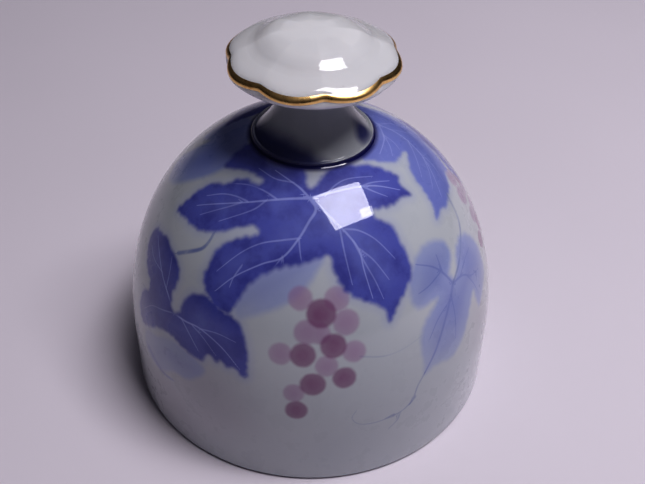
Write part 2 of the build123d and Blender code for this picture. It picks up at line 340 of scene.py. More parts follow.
@dataclass(frozen=True)
class WhitePorcelain:
    """Bluish-white glazed porcelain with faint clouding and a few iron specks."""

    name: str = "white_porcelain"
    light: tuple = (0.53, 0.555, 0.59)
    shade: tuple = (0.50, 0.530, 0.57)
    speck: tuple = (0.30, 0.26, 0.24)
    glaze: ClearGlaze = ClearGlaze()

    def colour(self, board: NodeBoard) -> bpy.types.NodeSocket:
        """The clay's colour: two close whites, clouded, with specks."""
        cloud = board.ramp(board.noise(38.0, 3.0), 0.35, 0.65)
        clay = board.mix(cloud, self.light, self.shade)
        specks = board.ramp(board.noise(900.0, 1.0), 0.80, 0.84)
        return board.mix(board.maths("MULTIPLY", specks, 0.2), clay, self.speck)

    def material(self) -> bpy.types.Material:
        """The finished material."""
        board = NodeBoard(self.name)
        roughness = board.ramp(board.noise(70.0, 2.0), 0.3, 0.7, 0.25, 0.35)
        return self.glaze.finish(board, self.colour(board), roughness)


@dataclass(frozen=True)
class VinePainting:
    """Underglaze painting of vine leaves and grapes, read from the shell's attributes."""

    name: str = "painted_porcelain"
    porcelain: WhitePorcelain = WhitePorcelain()
    cobalt: tuple = (0.112, 0.130, 0.46)
    cobalt_deep: tuple = (0.068, 0.074, 0.33)
    cobalt_thin: tuple = (0.23, 0.27, 0.60)
    pool: tuple = (0.020, 0.016, 0.12)
    wash: tuple = (0.23, 0.28, 0.60)
    wash_deep: tuple = (0.12, 0.15, 0.44)
    vein: tuple = (0.36, 0.40, 0.72)
    grape: tuple = (0.36, 0.22, 0.37)
    grape_deep: tuple = (0.235, 0.095, 0.21)
    blush: tuple = (0.78, 0.62, 0.68)
    tendril: tuple = (0.13, 0.17, 0.40)
    edge_softness: float = 0.62

    def material(self) -> bpy.types.Material:
        """The finished material: washes, grapes, leaves, veins and tendrils in that order."""
        board = NodeBoard(self.name)
        colour = self.porcelain.colour(board)
        wander = board.maths("SUBTRACT", board.noise(700.0, 2.0), 0.5)
        mottle = board.noise(210.0, 4.0, 0.6)
        cloud = board.noise(95.0, 2.0)

        blush = board.maths("MULTIPLY", board.ramp(board.attribute("blush"), 9.0, -6.0), 0.30)
        colour = board.mix(blush, colour, self.blush, "MULTIPLY")
        colour = self.washes(board, colour, wander, cloud)
        colour = self.grapes(board, colour, wander, mottle)
        colour = self.leaves(board, colour, wander, mottle)
        colour = self.lines(board, colour, mottle)
        pooled = board.ramp(board.attribute("pool"), 0.5, -0.5)
        colour = board.mix(board.maths("MULTIPLY", pooled, 0.85), colour, self.pool)
        roughness = board.ramp(mottle, 0.3, 0.7, 0.25, 0.35)
        return self.porcelain.glaze.finish(board, colour, roughness)

    def edge(self, board: NodeBoard, name: str, wander: object, amount: float,
             soft: float) -> bpy.types.NodeSocket:
        """Share from 0 outside to 1 inside of a shape, from its signed distance in millimetres."""
        moved = board.maths("MULTIPLY_ADD", wander, amount, board.attribute(name))
        return board.ramp(moved, soft, -soft)

    def washes(self, board: NodeBoard, colour: object, wander: object, cloud: object) -> object:
        """Pale leaves sprayed with thin blue, denser towards one side."""
        inside = self.edge(board, "wash", wander, 0.5, 0.9)
        depth = board.ramp(board.attribute("wash_tone"), 0.0, 1.0, 0.30, 0.92)
        uneven = board.ramp(cloud, 0.3, 0.7, 0.80, 1.0)
        share = board.maths("MULTIPLY", board.maths("MULTIPLY", inside, depth), uneven)
        colour = board.mix(share, colour, self.wash)
        core = board.ramp(board.attribute("wash"), -0.8, -4.5, 0.0, 0.30)
        colour = board.mix(board.maths("MULTIPLY", core, depth), colour, self.wash_deep)
        lines = self.stroke(board, "wash_vein", 0.9)
        return board.mix(board.maths("MULTIPLY", lines, 0.42), colour, self.wash_deep)

    def grapes(self, board: NodeBoard, colour: object, wander: object, mottle: object) -> object:
        """Round mauve grapes, pale ones under dark ones, each a little denser at its rim."""
        for name, paint, thin, full in (("grape_pale", self.grape, 0.62, 0.72),
                                        ("grape_dark", self.grape_deep, 0.80, 0.90)):
            inside = self.edge(board, name, wander, 0.25, 0.42)
            rim = board.ramp(board.attribute(name), -1.8, -0.2, full, thin)
            density = board.maths("MULTIPLY", rim, board.ramp(mottle, 0.2, 0.8, 0.9, 1.0))
            share = board.maths("MULTIPLY", inside, density)
            colour = board.mix(share, colour, paint)
        return colour

    def leaves(self, board: NodeBoard, colour: object, wander: object, mottle: object) -> object:
        """Dark cobalt leaves, mottled where the brush left more or less colour."""
        paint = board.mix(board.ramp(mottle, 0.35, 0.70), self.cobalt, self.cobalt_deep)
        tone = board.attribute("leaf_tone")
        paint = board.mix(board.ramp(tone, 0.5, 1.0), paint, self.cobalt_deep)
        paint = board.mix(board.ramp(tone, 0.5, 0.0), paint, self.cobalt_thin)
        middle = board.ramp(board.attribute("leaf"), -1.2, -5.5)
        cloudy = board.ramp(board.noise(120.0, 3.0), 0.3, 0.7, 0.10, 0.42)
        paint = board.mix(board.maths("MULTIPLY", middle, cloudy), paint, self.cobalt_thin)
        bleed = board.maths("MULTIPLY", board.ramp(board.attribute("leaf"), 2.2, -0.2), 0.20)
        colour = board.mix(bleed, colour, self.cobalt_thin)
        inside = self.edge(board, "leaf", wander, 0.45, self.edge_softness)
        return board.mix(board.maths("MULTIPLY", inside, 0.96), colour, paint)

    def stroke(self, board: NodeBoard, name: str, soft: float) -> bpy.types.NodeSocket:
        """Share of a painted line: the signed distance gives its edges, and the plain one hides
        the places where the sign turns over between two lines."""
        across = board.maths("ABSOLUTE", board.attribute(name))
        line = board.ramp(across, 1.0 + soft, 1.0 - soft)
        near = board.ramp(board.attribute(f"{name}_near"), 3.2, 2.2)
        return board.maths("MULTIPLY", line, near)

    def lines(self, board: NodeBoard, colour: object, mottle: object) -> object:
        """Pale veins drawn through the dark leaves, then the vine's thin tendrils."""
        inside = board.ramp(board.attribute("leaf"), -0.1, -1.2)
        for name, full, thin in (("twig", 0.66, 0.38), ("vein", 0.82, 0.56)):
            veins = board.maths("MULTIPLY", self.stroke(board, name, 0.7), inside)
            veins = board.maths("MULTIPLY", veins, board.ramp(mottle, 0.25, 0.7, full, thin))
            colour = board.mix(veins, colour, self.vein)
        tendrils = board.maths("MULTIPLY", self.stroke(board, "tendril", 0.7),
                               board.ramp(mottle, 0.3, 0.7, 0.35, 0.8))
        tendrils = board.maths("MULTIPLY", tendrils, board.attribute("tendril_ink"))
        return board.mix(tendrils, colour, self.tendril)


@dataclass(frozen=True)
class FiredGold:
    """Bright gold film fired onto the glaze, a little brushed."""

    name: str = "fired_gold"
    bright: tuple = (0.95, 0.66, 0.30)
    worn: tuple = (0.62, 0.38, 0.16)

    def material(self) -> bpy.types.Material:
        """The finished material."""
        board = NodeBoard(self.name)
        patches = board.ramp(board.noise(420.0, 4.0, 0.6), 0.45, 0.8)
        colour = board.mix(patches, self.bright, self.worn)
        roughness = board.ramp(board.noise(260.0, 3.0), 0.3, 0.7, 0.22, 0.36)
        normal = board.bump(board.noise(1500.0, 2.0), 0.12, 0.0001)
        return board.finish(Base_Color=colour, Roughness=roughness, Metallic=1.0, Normal=normal)


@dataclass(frozen=True)
class DrawnBrass:
    """Drawn brass wire, dulled in its hollows."""

    name: str = "drawn_brass"
    bright: tuple = (0.80, 0.58, 0.26)
    dull: tuple = (0.32, 0.22, 0.10)

    def material(self) -> bpy.types.Material:
        """The finished material."""
        board = NodeBoard(self.name)
        tarnish = board.ramp(board.noise(700.0, 4.0, 0.65), 0.45, 0.75)
        colour = board.mix(board.maths("MULTIPLY", tarnish, 0.7), self.bright, self.dull)
        roughness = board.ramp(board.noise(900.0, 3.0), 0.3, 0.7, 0.22, 0.45)
        normal = board.bump(board.noise(4000.0, 2.0), 0.25, 0.00005)
        return board.finish(Base_Color=colour, Roughness=roughness, Metallic=1.0, Normal=normal)


@dataclass(frozen=True)
class CastCement:
    """Matt white cement with pores."""

    name: str = "cast_cement"
    light: tuple = (0.66, 0.63, 0.58)
    dark: tuple = (0.44, 0.41, 0.37)

    def material(self) -> bpy.types.Material:
        """The finished material."""
        board = NodeBoard(self.name)
        grain = board.noise(1400.0, 5.0, 0.7)
        colour = board.mix(board.ramp(grain, 0.4, 0.7), self.light, self.dark)
        normal = board.bump(grain, 0.7, 0.0002)
        roughness = board.ramp(grain, 0.3, 0.7, 0.8, 0.95)
        return board.finish(Base_Color=colour, Roughness=roughness, Normal=normal)


@dataclass(frozen=True)
class PaleTable:
    """Smooth pale lavender-grey table top."""

    name: str = "pale_table"
    light: tuple = (0.715, 0.675, 0.745)
    shade: tuple = (0.69, 0.65, 0.715)

    def material(self) -> bpy.types.Material:
        """The finished material."""
        board = NodeBoard(self.name)
        cloud = board.ramp(board.noise(2.5, 2.0), 0.3, 0.7)
        roughness = board.ramp(board.noise(20.0, 2.0), 0.3, 0.7, 0.55, 0.65)
        return board.finish(Base_Color=board.mix(cloud, self.light, self.shade), Roughness=roughness)


# ------------------------------------------------------------------ the bell's outside
@dataclass
class BellProfile:
    """Meridian of the shell: an upright wall, then a superellipse dome.

    On the dome, (radius / base) ** power + (height / rise) ** power = 1.
    """

    mouth_radius: float = field(default_factory=lambda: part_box("bell_shell")[1].x)
    straight_wall: float = 12.0 * MM
    rise: float = 46.0 * MM
    power: float = 2.19
    wall: float = 2.6 * MM
    crown: float = 3.2 * MM
    lip_outer: float = 0.9 * MM
    lip_inner: float = 0.7 * MM
    vent_radius: float = 3.0 * MM

    def dome(self, base: float, rise: float, end_radius: float, count: int) -> np.ndarray:
        """Points from the top of the straight wall up to end_radius."""
        last = math.acos((end_radius / base) ** (self.power / 2))
        turn = np.linspace(0, last, count)
        radius = base * np.cos(turn) ** (2 / self.power)
        height = self.straight_wall + rise * np.sin(turn) ** (2 / self.power)
        return np.stack([radius, height], axis=1)

    def height_at(self, radius: float) -> float:
        """Height of the outside of the dome at a distance from the axis."""
        share = (radius / self.mouth_radius) ** self.power
        return self.straight_wall + self.rise * (1 - share) ** (1 / self.power)

    def outside(self, end_radius: float) -> np.ndarray:
        """The painted outside, from above the lip's round up to end_radius."""
        wall = np.array([[self.mouth_radius, self.lip_outer]])
        return np.concatenate([wall, self.dome(self.mouth_radius, self.rise, end_radius, 400)])

    def inside(self) -> np.ndarray:
        """The inner wall, from the vent down to above the lip's round."""
        radius = self.mouth_radius - self.wall
        curve = self.dome(radius, self.rise - self.crown, self.vent_radius, 200)[::-1]
        return np.concatenate([curve, [[radius, self.lip_inner]]])

    def lip(self) -> np.ndarray:
        """The ground mouth: inner round, flat ring and outer round."""
        inner = self.mouth_radius - self.wall
        first = arc((inner + self.lip_inner, self.lip_inner), self.lip_inner, 180, 270, 7)
        last = arc((self.mouth_radius - self.lip_outer, self.lip_outer), self.lip_outer, 270, 360, 7)
        flat = np.linspace(first[-1], last[0], 4)[1:-1]
        return np.concatenate([first[1:], flat, last[:-1]])


@dataclass(frozen=True)
class PaintSheet:
    """Flat sheet that wraps onto the dome without much stretch.

    A point's direction from a focus inside the dome is taken, and the sheet's distance from
    its centre is the angle to the centre direction times a mean radius.

    Attributes:
        bearing: which way the sheet faces, in degrees from +X.
        tilt: how far its centre looks up, in degrees.
        focus: height of the focus, in millimetres.
        mean_radius: millimetres on the sheet for each radian.
    """

    bearing: float
    tilt: float = 40.0
    focus: float = 14.0
    mean_radius: float = 40.0

    def lay(self, points: np.ndarray) -> np.ndarray:
        """Places points of the dome on the sheet.

        Args:
            points: array of points in metres.

        Returns:
            Array of places in millimetres, right and up on the sheet.
        """
        bearing, tilt = math.radians(self.bearing), math.radians(self.tilt)
        level = math.cos(tilt)
        centre = np.array([level * math.cos(bearing), level * math.sin(bearing), math.sin(tilt)])
        right = np.array([-math.sin(bearing), math.cos(bearing), 0.0])
        up = np.cross(centre, right)
        ray = points / MM - np.array([0.0, 0.0, self.focus])
        ray /= np.linalg.norm(ray, axis=1)[:, None]
        angle = np.arccos(np.clip(ray @ centre, -1, 1))
        stretch = self.mean_radius * angle / np.maximum(np.sin(angle), 1e-6)
        return np.stack([ray @ right * stretch, ray @ up * stretch], axis=1)


# ------------------------------------------------------------------ painted shapes
def smooth_ring(points: tuple, steps: int = 6) -> np.ndarray:
    """Closed Catmull-Rom curve through points.

    Args:
        points: places in order round the ring.
        steps: points made for each span.
    """
    p = np.array(points, float)
    t = np.linspace(0, 1, steps, endpoint=False)[None, :, None]
    a, b, c, d = (np.roll(p, shift, axis=0)[:, None, :] for shift in (1, 0, -1, -2))
    curve = 0.5 * (2 * b + (c - a) * t + (2 * a - 5 * b + 4 * c - d) * t ** 2
                   + (3 * b - a - 3 * c + d) * t ** 3)
    return curve.reshape(-1, 2)


def smooth_line(points: tuple, steps: int = 6) -> np.ndarray:
    """Open Catmull-Rom curve through points, its ends carried straight on."""
    p = np.array(points, float)
    p = np.concatenate([[2 * p[0] - p[1]], p, [2 * p[-1] - p[-2]]])
    a, b, c, d = (p[k:len(p) - 3 + k][:, None, :] for k in range(4))
    t = np.linspace(0, 1, steps, endpoint=False)[None, :, None]
    curve = 0.5 * (2 * b + (c - a) * t + (2 * a - 5 * b + 4 * c - d) * t ** 2
                   + (3 * b - a - 3 * c + d) * t ** 3)
    return np.concatenate([curve.reshape(-1, 2), p[-2:-1]])


def toothed(ring: np.ndarray, pitch: float, depth: float) -> np.ndarray:
    """Adds a leaf's saw teeth to a ring.

    Each point moves out along the ring's normal by depth times a saw wave of the distance
    run along the ring, slow to rise and quick to fall. Slow sines stretch the teeth and
    make some of them deeper, as on a real leaf.
    """
    closed = np.concatenate([ring, ring[:1]])
    length = np.linalg.norm(np.diff(closed, axis=0), axis=1).sum()
    count = max(int(length / pitch), 3)
    fine = spaced(closed, count * 8 + 1)[:-1]
    run = np.arange(len(fine)) / 8
    phase = (run + 0.30 * np.sin(run * 1.13) + 0.22 * np.sin(run * 0.47 + 2.0)) % 1
    saw = np.where(phase < 0.72, phase / 0.72, (1 - phase) / 0.28) - 0.5
    saw = saw * (0.62 + 0.38 * np.sin(run * 0.81 + 1.0))
    tangent = np.roll(fine, -2, axis=0) - np.roll(fine, 2, axis=0)
    tangent /= np.maximum(np.linalg.norm(tangent, axis=1)[:, None], 1e-9)
    area = np.sum(fine[:, 0] * np.roll(fine[:, 1], -1) - fine[:, 1] * np.roll(fine[:, 0], -1))
    outward = np.stack([tangent[:, 1], -tangent[:, 0]], axis=1) * np.sign(area)
    return fine + outward * (saw * depth)[:, None]


def segment_gaps(places: np.ndarray, starts: np.ndarray, ends: np.ndarray) -> tuple:
    """Distance, side and nearest share from every place to every segment.

    Returns:
        Three arrays of places by segments: distance, cross product sign, share along.
    """
    along = ends - starts
    offset = places[:, None, :] - starts[None]
    share = np.clip((offset * along).sum(-1) / np.maximum((along ** 2).sum(-1), 1e-12), 0, 1)
    gap = np.linalg.norm(offset - share[..., None] * along, axis=-1)
    side = np.sign(along[:, 0] * offset[..., 1] - along[:, 1] * offset[..., 0])
    return gap, side, share


def ring_distance(places: np.ndarray, ring: np.ndarray, reach: float = 4.0) -> np.ndarray:
    """Signed distance from places to a closed ring, negative inside it.

    The sign comes from how many of the ring's edges a level line from the place crosses.
    Places further from the ring's box than reach count as far away.
    """
    result = np.full(len(places), FAR)
    near = np.all((places > ring.min(0) - reach) & (places < ring.max(0) + reach), axis=1)
    spots = places[near]
    starts, ends = ring, np.roll(ring, -1, axis=0)
    values = np.empty(len(spots))
    for chunk in np.array_split(np.arange(len(spots)), max(len(spots) // 4000, 1)):
        here = spots[chunk]
        gap = segment_gaps(here, starts, ends)[0].min(axis=1)
        x, y = here[:, :1], here[:, 1:]
        spans = (starts[:, 1] > y) != (ends[:, 1] > y)
        rise = np.where(ends[:, 1] == starts[:, 1], 1e-12, ends[:, 1] - starts[:, 1])
        crossing = starts[:, 0] + (y - starts[:, 1]) * (ends[:, 0] - starts[:, 0]) / rise
        inside = (spans & (x < crossing)).sum(axis=1) % 2 == 1
        values[chunk] = np.where(inside, -gap, gap)
    result[near] = values
    return result


@dataclass(frozen=True)
class Stroke:
    """A drawn line that thins from its start to its end.

    Attributes:
        points: places that it passes through, in millimetres on the sheet.
        width: half its width at the start.
        tip: half its width at the end.
        ink: how strong it is, from 0 to 1.
    """

    points: tuple
    width: float = 0.17
    tip: float = 0.08
    ink: float = 1.0

    def lay_on(self, places: np.ndarray, across: np.ndarray, near: np.ndarray,
               ink: np.ndarray | None = None) -> None:
        """Writes this line's distances, in half widths, wherever it is the nearest line.

        Args:
            places: the points on the sheet.
            across: signed distance to the nearest line so far, changed in place.
            near: plain distance to it, changed in place.
            ink: strength of the nearest line, changed in place.
        """
        line = smooth_line(self.points)
        reach = 2.5
        boxed = (places > line.min(0) - reach) & (places < line.max(0) + reach)
        close = np.flatnonzero(np.all(boxed, axis=1))
        if not len(close):
            return
        gap, side, share = segment_gaps(places[close], line[:-1], line[1:])
        best = gap.argmin(axis=1)
        pick = np.arange(len(close))
        along = (best + share[pick, best]) / (len(line) - 1)
        half = self.width + (self.tip - self.width) * along
        scaled = gap[pick, best] / half
        wins = scaled < near[close]
        spots = close[wins]
        near[spots] = scaled[wins]
        across[spots] = (scaled * np.where(side[pick, best] < 0, -1.0, 1.0))[wins]
        if ink is not None:
            ink[spots] = self.ink


class LeafKind(Enum):
    """How a leaf is painted."""

    COBALT = "leaf"
    WASH = "wash"


@dataclass(frozen=True)
class Leaf:
    """One painted leaf.

    Attributes:
        kind: dark cobalt or thin wash.
        outline: places round its edge.
        veins: the lines drawn in it.
        tone: how dense its colour is, from 0 to 1.
        shade_towards: a place on the sheet towards which a wash gets denser.
        teeth: depth of its saw teeth.
    """

    kind: LeafKind
    outline: tuple
    veins: tuple = ()
    tone: float = 0.5
    shade_towards: tuple | None = None
    teeth: float = 0.38

    def ring(self) -> np.ndarray:
        """The leaf's edge as a closed ring, with its teeth."""
        ring = smooth_ring(self.outline)
        return toothed(ring, TOOTH_PITCH, self.teeth) if self.teeth else ring

    def moved(self, shift: tuple, turn: float, scale: float = 1.0, flip: bool = False) -> "Leaf":
        """The same leaf elsewhere on a sheet, turned in degrees, scaled and perhaps mirrored."""
        move = Placement(shift, turn, scale, flip)
        veins = tuple(replace(vein, points=move.apply(vein.points)) for vein in self.veins)
        towards = move.apply((self.shade_towards,))[0] if self.shade_towards else None
        return replace(self, outline=move.apply(self.outline), veins=veins, shade_towards=towards)


@dataclass(frozen=True)
class Placement:
    """A shift, turn and scale on a sheet."""

    shift: tuple
    turn: float
    scale: float
    flip: bool

    def apply(self, points: tuple) -> tuple:
        """Moves places, mirrored first, then turned and scaled about the sheet's centre, then shifted."""
        c, s = math.cos(math.radians(self.turn)), math.sin(math.radians(self.turn))
        p = np.array(points, float) * (-1 if self.flip else 1, 1)
        p = p @ np.array([[c, s], [-s, c]]) * self.scale + self.shift
        return tuple(map(tuple, p))


@dataclass(frozen=True)
class Grapes:
    """A bunch of grapes: (right, up, radius) of each one, pale ones lying under dark ones."""

    pale: tuple
    dark: tuple

    def moved(self, shift: tuple, turn: float, scale: float = 1.0, flip: bool = False) -> "Grapes":
        """The same bunch elsewhere on a sheet."""
        move = Placement(shift, turn, scale, flip)

        def shifted(grapes: tuple) -> tuple:
            """The grapes with their centres moved and their radii scaled."""
            places = move.apply(tuple(grape[:2] for grape in grapes))
            return tuple((*place, grape[2] * scale) for place, grape in zip(places, grapes))
        return Grapes(shifted(self.pale), shifted(self.dark))


# The front of the bell, in millimetres on its sheet.
BROAD_LEAF = Leaf(
    LeafKind.COBALT,
    ((-26.8, 18.6), (-24.2, 20.2), (-21.5, 21.7), (-18.5, 22.6), (-15.6, 22.0), (-13.2, 22.7), (-11.0, 22.3),
     (-9.2, 21.1), (-8.8, 22.3), (-12.0, 24.3), (-16.2, 25.6), (-14.6, 28.4), (-11.0, 31.0), (-4.0, 31.0),
     (-1.4, 27.0), (-1.2, 23.6), (-0.6, 20.6), (0.3, 20.4), (1.4, 22.0), (3.0, 24.0), (5.5, 25.0),
     (8.5, 25.3), (11.0, 25.5), (13.2, 24.9), (15.8, 23.9), (15.9, 22.5), (18.2, 20.6), (16.2, 19.8),
     (14.9, 18.6),
     (13.3, 17.7), (11.4, 17.2), (10.2, 16.2), (12.4, 15.0), (14.2, 14.3), (15.4, 12.0), (16.6, 10.4),
     (17.6, 8.4), (18.1, 6.6), (17.6, 4.4), (16.8, 2.6), (15.7, 0.4), (14.3, -2.6), (13.2, -0.2), (10.6, 1.0),
     (7.6, 2.0), (5.4, 3.6), (3.9, 6.0), (3.0, 8.8), (1.4, 8.5), (-1.4, 7.5), (-5.0, 6.9), (-8.0, 5.8),
     (-10.8, 3.8), (-12.8, 1.3), (-15.0, -1.2), (-17.6, 0.2), (-19.4, 3.0), (-19.7, 5.6), (-18.4, 7.6),
     (-17.2, 9.8), (-15.0, 11.2), (-12.0, 12.0), (-9.5, 12.3), (-8.9, 13.1), (-9.8, 13.9), (-13.0, 13.7),
     (-16.0, 13.2), (-20.0, 13.6), (-22.4, 14.9), (-25.0, 17.0)),
    veins=(
        Stroke(((-0.4, 18.5), (-4.0, 18.4), (-12.0, 18.1), (-21.5, 18.6)), 0.26),
        Stroke(((-6.2, 18.6), (-8.4, 20.1), (-11.0, 21.3), (-14.8, 22.0))),
        Stroke(((-11.2, 18.3), (-13.4, 19.4), (-16.0, 20.1), (-19.4, 20.2))),
        Stroke(((-7.8, 18.2), (-9.6, 16.9), (-12.0, 16.1), (-16.4, 15.1))),
        Stroke(((-12.4, 18.1), (-15.0, 17.5), (-20.6, 16.7))),
        Stroke(((-0.4, 18.5), (0.7, 16.6), (-0.5, 14.4), (-2.1, 11.7), (-4.8, 8.6), (-8.4, 7.5), (-13.4, 5.4),
                (-17.4, 2.8)), 0.26),
        Stroke(((-2.1, 11.7), (-5.0, 11.4), (-8.6, 10.9), (-12.2, 9.4), (-16.8, 6.4))),
        Stroke(((-2.1, 11.7), (-1.9, 9.6), (-1.6, 7.7)), 0.16),
        Stroke(((-4.8, 8.6), (-4.6, 6.9)), 0.16),
        Stroke(((-4.9, 8.6), (-6.4, 6.8)), 0.16),
        Stroke(((-12.0, 7.2), (-13.6, 5.2), (-14.4, 3.6)), 0.16),
        Stroke(((-0.4, 18.5), (-2.0, 20.3), (-4.0, 21.9), (-6.4, 23.8)), 0.22),
        Stroke(((-3.4, 21.4), (-6.4, 22.2), (-9.4, 24.4)), 0.16),
        Stroke(((-0.4, 18.5), (4.0, 19.8), (8.0, 20.9), (11.4, 21.4), (15.8, 21.2)), 0.24),
        Stroke(((2.4, 19.2), (4.0, 21.0), (6.2, 22.3), (10.6, 23.2))),
        Stroke(((8.4, 21.0), (10.6, 22.0), (13.8, 22.7))),
        Stroke(((8.8, 21.0), (11.0, 20.2), (13.2, 19.6))),
        Stroke(((-0.4, 18.5), (2.0, 16.4), (4.2, 14.2), (6.0, 12.5), (8.0, 10.0), (9.0, 6.6),
                (10.8, 1.8)), 0.26),
        Stroke(((7.0, 11.4), (9.0, 8.0), (11.0, 5.0), (12.8, 1.8))),
        Stroke(((8.0, 10.2), (10.6, 8.4), (13.6, 5.2))),
        Stroke(((4.6, 13.8), (5.4, 10.0), (6.2, 7.0), (7.0, 4.2))),
        Stroke(((5.6, 13.4), (8.0, 13.2), (11.0, 11.8), (14.6, 8.8))),
    ),
    tone=0.5,
)
SHADE_LEAF = Leaf(
    LeafKind.COBALT,
    ((-33.6, 16.0), (-31.2, 14.4), (-29.3, 13.4), (-28.0, 11.2), (-26.4, 9.0), (-25.6, 6.8), (-25.9, 5.0),
     (-26.8, 3.4), (-28.2, 1.6), (-28.4, -1.4), (-26.4, -1.6), (-25.2, 0.4), (-23.4, 1.8), (-21.0, 2.2),
     (-18.8, 1.6), (-16.0, -0.8), (-13.8, -2.0), (-12.5, -3.8), (-11.8, -7.4), (-11.9, -10.6), (-12.6, -14.2),
     (-15.0, -12.2), (-16.6, -12.2), (-17.6, -10.8), (-18.6, -11.4), (-20.4, -9.9), (-22.4, -11.6),
     (-25.4, -10.3), (-27.6, -8.9), (-29.4, -7.3), (-31.6, -6.4), (-34.6, -5.9), (-38.0, -6.3), (-42.0, -5.8),
     (-43.0, -2.0), (-41.0, 1.4), (-38.6, 2.6), (-37.0, 2.4), (-36.0, 4.6), (-37.2, 7.4), (-37.4, 11.0),
     (-36.2, 14.4)),
    veins=(
        Stroke(((-28.0, -2.0), (-29.2, 1.4), (-30.8, 5.6), (-31.8, 9.8), (-32.8, 14.2)), 0.22),
        Stroke(((-28.0, -2.0), (-25.0, -3.4), (-21.4, -4.6), (-17.0, -8.0), (-13.6, -12.4)), 0.22),
        Stroke(((-21.4, -4.6), (-17.6, -5.2), (-14.0, -6.6)), 0.14),
        Stroke(((-23.4, -4.0), (-21.0, -6.4), (-18.6, -9.8)), 0.14),
        Stroke(((-26.0, -3.0), (-24.4, -6.0), (-22.6, -9.6)), 0.16),
        Stroke(((-28.0, -2.0), (-31.8, -1.6), (-35.8, -1.0), (-40.0, -2.0)), 0.18),
        Stroke(((-29.8, 3.0), (-28.4, 6.4), (-27.6, 9.4)), 0.13),
        Stroke(((-31.0, 6.4), (-34.0, 9.4), (-35.2, 12.4)), 0.13),
    ),
    tone=0.72,
)
HIGH_LEAF = Leaf(
    LeafKind.COBALT,
    ((9.8, 44.0), (14.0, 42.4), (19.0, 41.0), (24.0, 38.6), (26.2, 36.4), (24.2, 36.2), (27.2, 34.0),
     (30.6, 30.6), (29.2, 28.4), (29.5, 25.4), (28.2, 22.6), (27.2, 20.0), (25.4, 19.0), (24.0, 16.6),
     (23.2, 19.2), (21.8, 21.2), (20.4, 23.0), (19.1, 24.8), (18.6, 27.6), (18.7, 30.2), (17.6, 29.8),
     (16.6, 28.2), (15.0, 26.8), (12.6, 26.6), (9.4, 26.6), (7.0, 27.6), (8.0, 34.0)),
    veins=(
        Stroke(((11.4, 39.4), (13.6, 37.0), (17.0, 35.8), (20.0, 33.8), (22.4, 31.0), (24.2, 27.6),
                (26.0, 21.8)), 0.24),
        Stroke(((20.0, 33.8), (20.8, 29.4), (21.3, 25.0))),
        Stroke(((22.8, 30.4), (23.6, 27.0), (23.8, 23.0))),
        Stroke(((22.0, 31.6), (25.4, 29.0), (27.6, 25.8)), 0.14),
        Stroke(((13.6, 37.0), (14.1, 33.2), (13.6, 31.0), (12.6, 28.4)), 0.22),
        Stroke(((14.1, 33.4), (15.0, 31.0), (15.2, 28.4)), 0.15),
        Stroke(((14.1, 33.8), (16.0, 32.2), (17.2, 30.4)), 0.15),
        Stroke(((13.6, 37.0), (11.6, 34.0), (9.8, 30.6)), 0.18),
        Stroke(((13.6, 37.0), (17.0, 38.6), (21.0, 39.0)), 0.16),
        Stroke(((16.4, 36.2), (20.0, 36.8), (23.0, 36.4)), 0.14),
    ),
    tone=0.14,
)
FAR_LOBE = Leaf(
    LeafKind.COBALT,
    ((24.8, 36.9), (28.0, 35.0), (31.4, 31.4), (35.0, 30.6), (40.0, 31.0), (42.0, 35.0), (38.0, 40.0),
     (32.0, 43.0), (25.0, 44.0), (20.0, 43.0), (24.0, 39.4)),
    tone=0.55,
)
MIST_LEAF = Leaf(
    LeafKind.WASH,
    ((-33.0, 28.6), (-31.0, 26.0), (-27.0, 24.6), (-22.0, 24.2), (-18.0, 24.8), (-15.0, 26.6), (-12.0, 31.0),
     (-12.0, 37.0), (-16.0, 40.6), (-21.0, 39.6), (-24.6, 36.4), (-22.0, 34.0), (-27.4, 33.6), (-31.4, 33.4)),
    tone=0.95, shade_towards=(-14.0, 31.0), teeth=0.0,
)
PALE_LEAF = Leaf(
    LeafKind.WASH,
    ((28.8, 5.6), (27.4, 6.8), (27.8, 8.8), (27.3, 11.2), (25.6, 12.7), (23.0, 12.5), (20.4, 11.3),
     (19.0, 9.3),
     (18.2, 7.0), (17.8, 4.0), (18.6, 1.0), (20.4, -0.2), (22.6, 0.7), (24.8, 1.7), (24.0, 0.2), (22.2, -3.0),
     (21.8, -6.2), (22.6, -9.6), (23.6, -12.2), (24.4, -14.8), (26.8, -13.2), (29.2, -12.6), (32.0, -12.1),
     (33.9, -10.0), (35.2, -7.2), (35.8, -4.0), (36.1, -1.0), (36.6, 2.4), (37.4, 3.0), (38.2, 1.8),
     (39.8, 0.2), (41.5, -0.6), (43.2, 4.6), (43.7, 8.2), (41.6, 11.2), (39.2, 13.6), (36.0, 15.0),
     (33.0, 15.3),
     (30.7, 14.2), (29.5, 12.0), (29.3, 9.8), (29.9, 7.2)),
    veins=(
        Stroke(((28.8, 4.6), (26.2, 6.3), (23.0, 7.6), (19.0, 7.9)), 0.26, 0.10),
        Stroke(((28.8, 4.6), (31.9, 6.3), (35.8, 6.5), (39.0, 8.0)), 0.26, 0.10),
        Stroke(((28.8, 4.6), (28.4, 1.6), (27.4, -4.0), (26.2, -9.6), (24.4, -14.4)), 0.34, 0.22),
        Stroke(((31.0, 6.0), (32.6, 9.6), (34.4, 12.4)), 0.15, 0.08),
        Stroke(((33.4, 6.4), (37.0, 4.6), (40.0, 2.4)), 0.15, 0.08),
        Stroke(((28.5, 2.2), (30.8, -2.6), (32.2, -7.6)), 0.15, 0.08),
        Stroke(((28.3, 1.2), (25.6, -2.4), (24.0, -6.6)), 0.15, 0.08),
        Stroke(((25.6, 6.6), (23.6, 10.0)), 0.14, 0.08),
        Stroke(((25.0, 6.8), (22.4, 4.2), (20.0, 2.6)), 0.14, 0.08),
    ),
    tone=0.74, shade_towards=(31.0, 6.0), teeth=0.35,
)
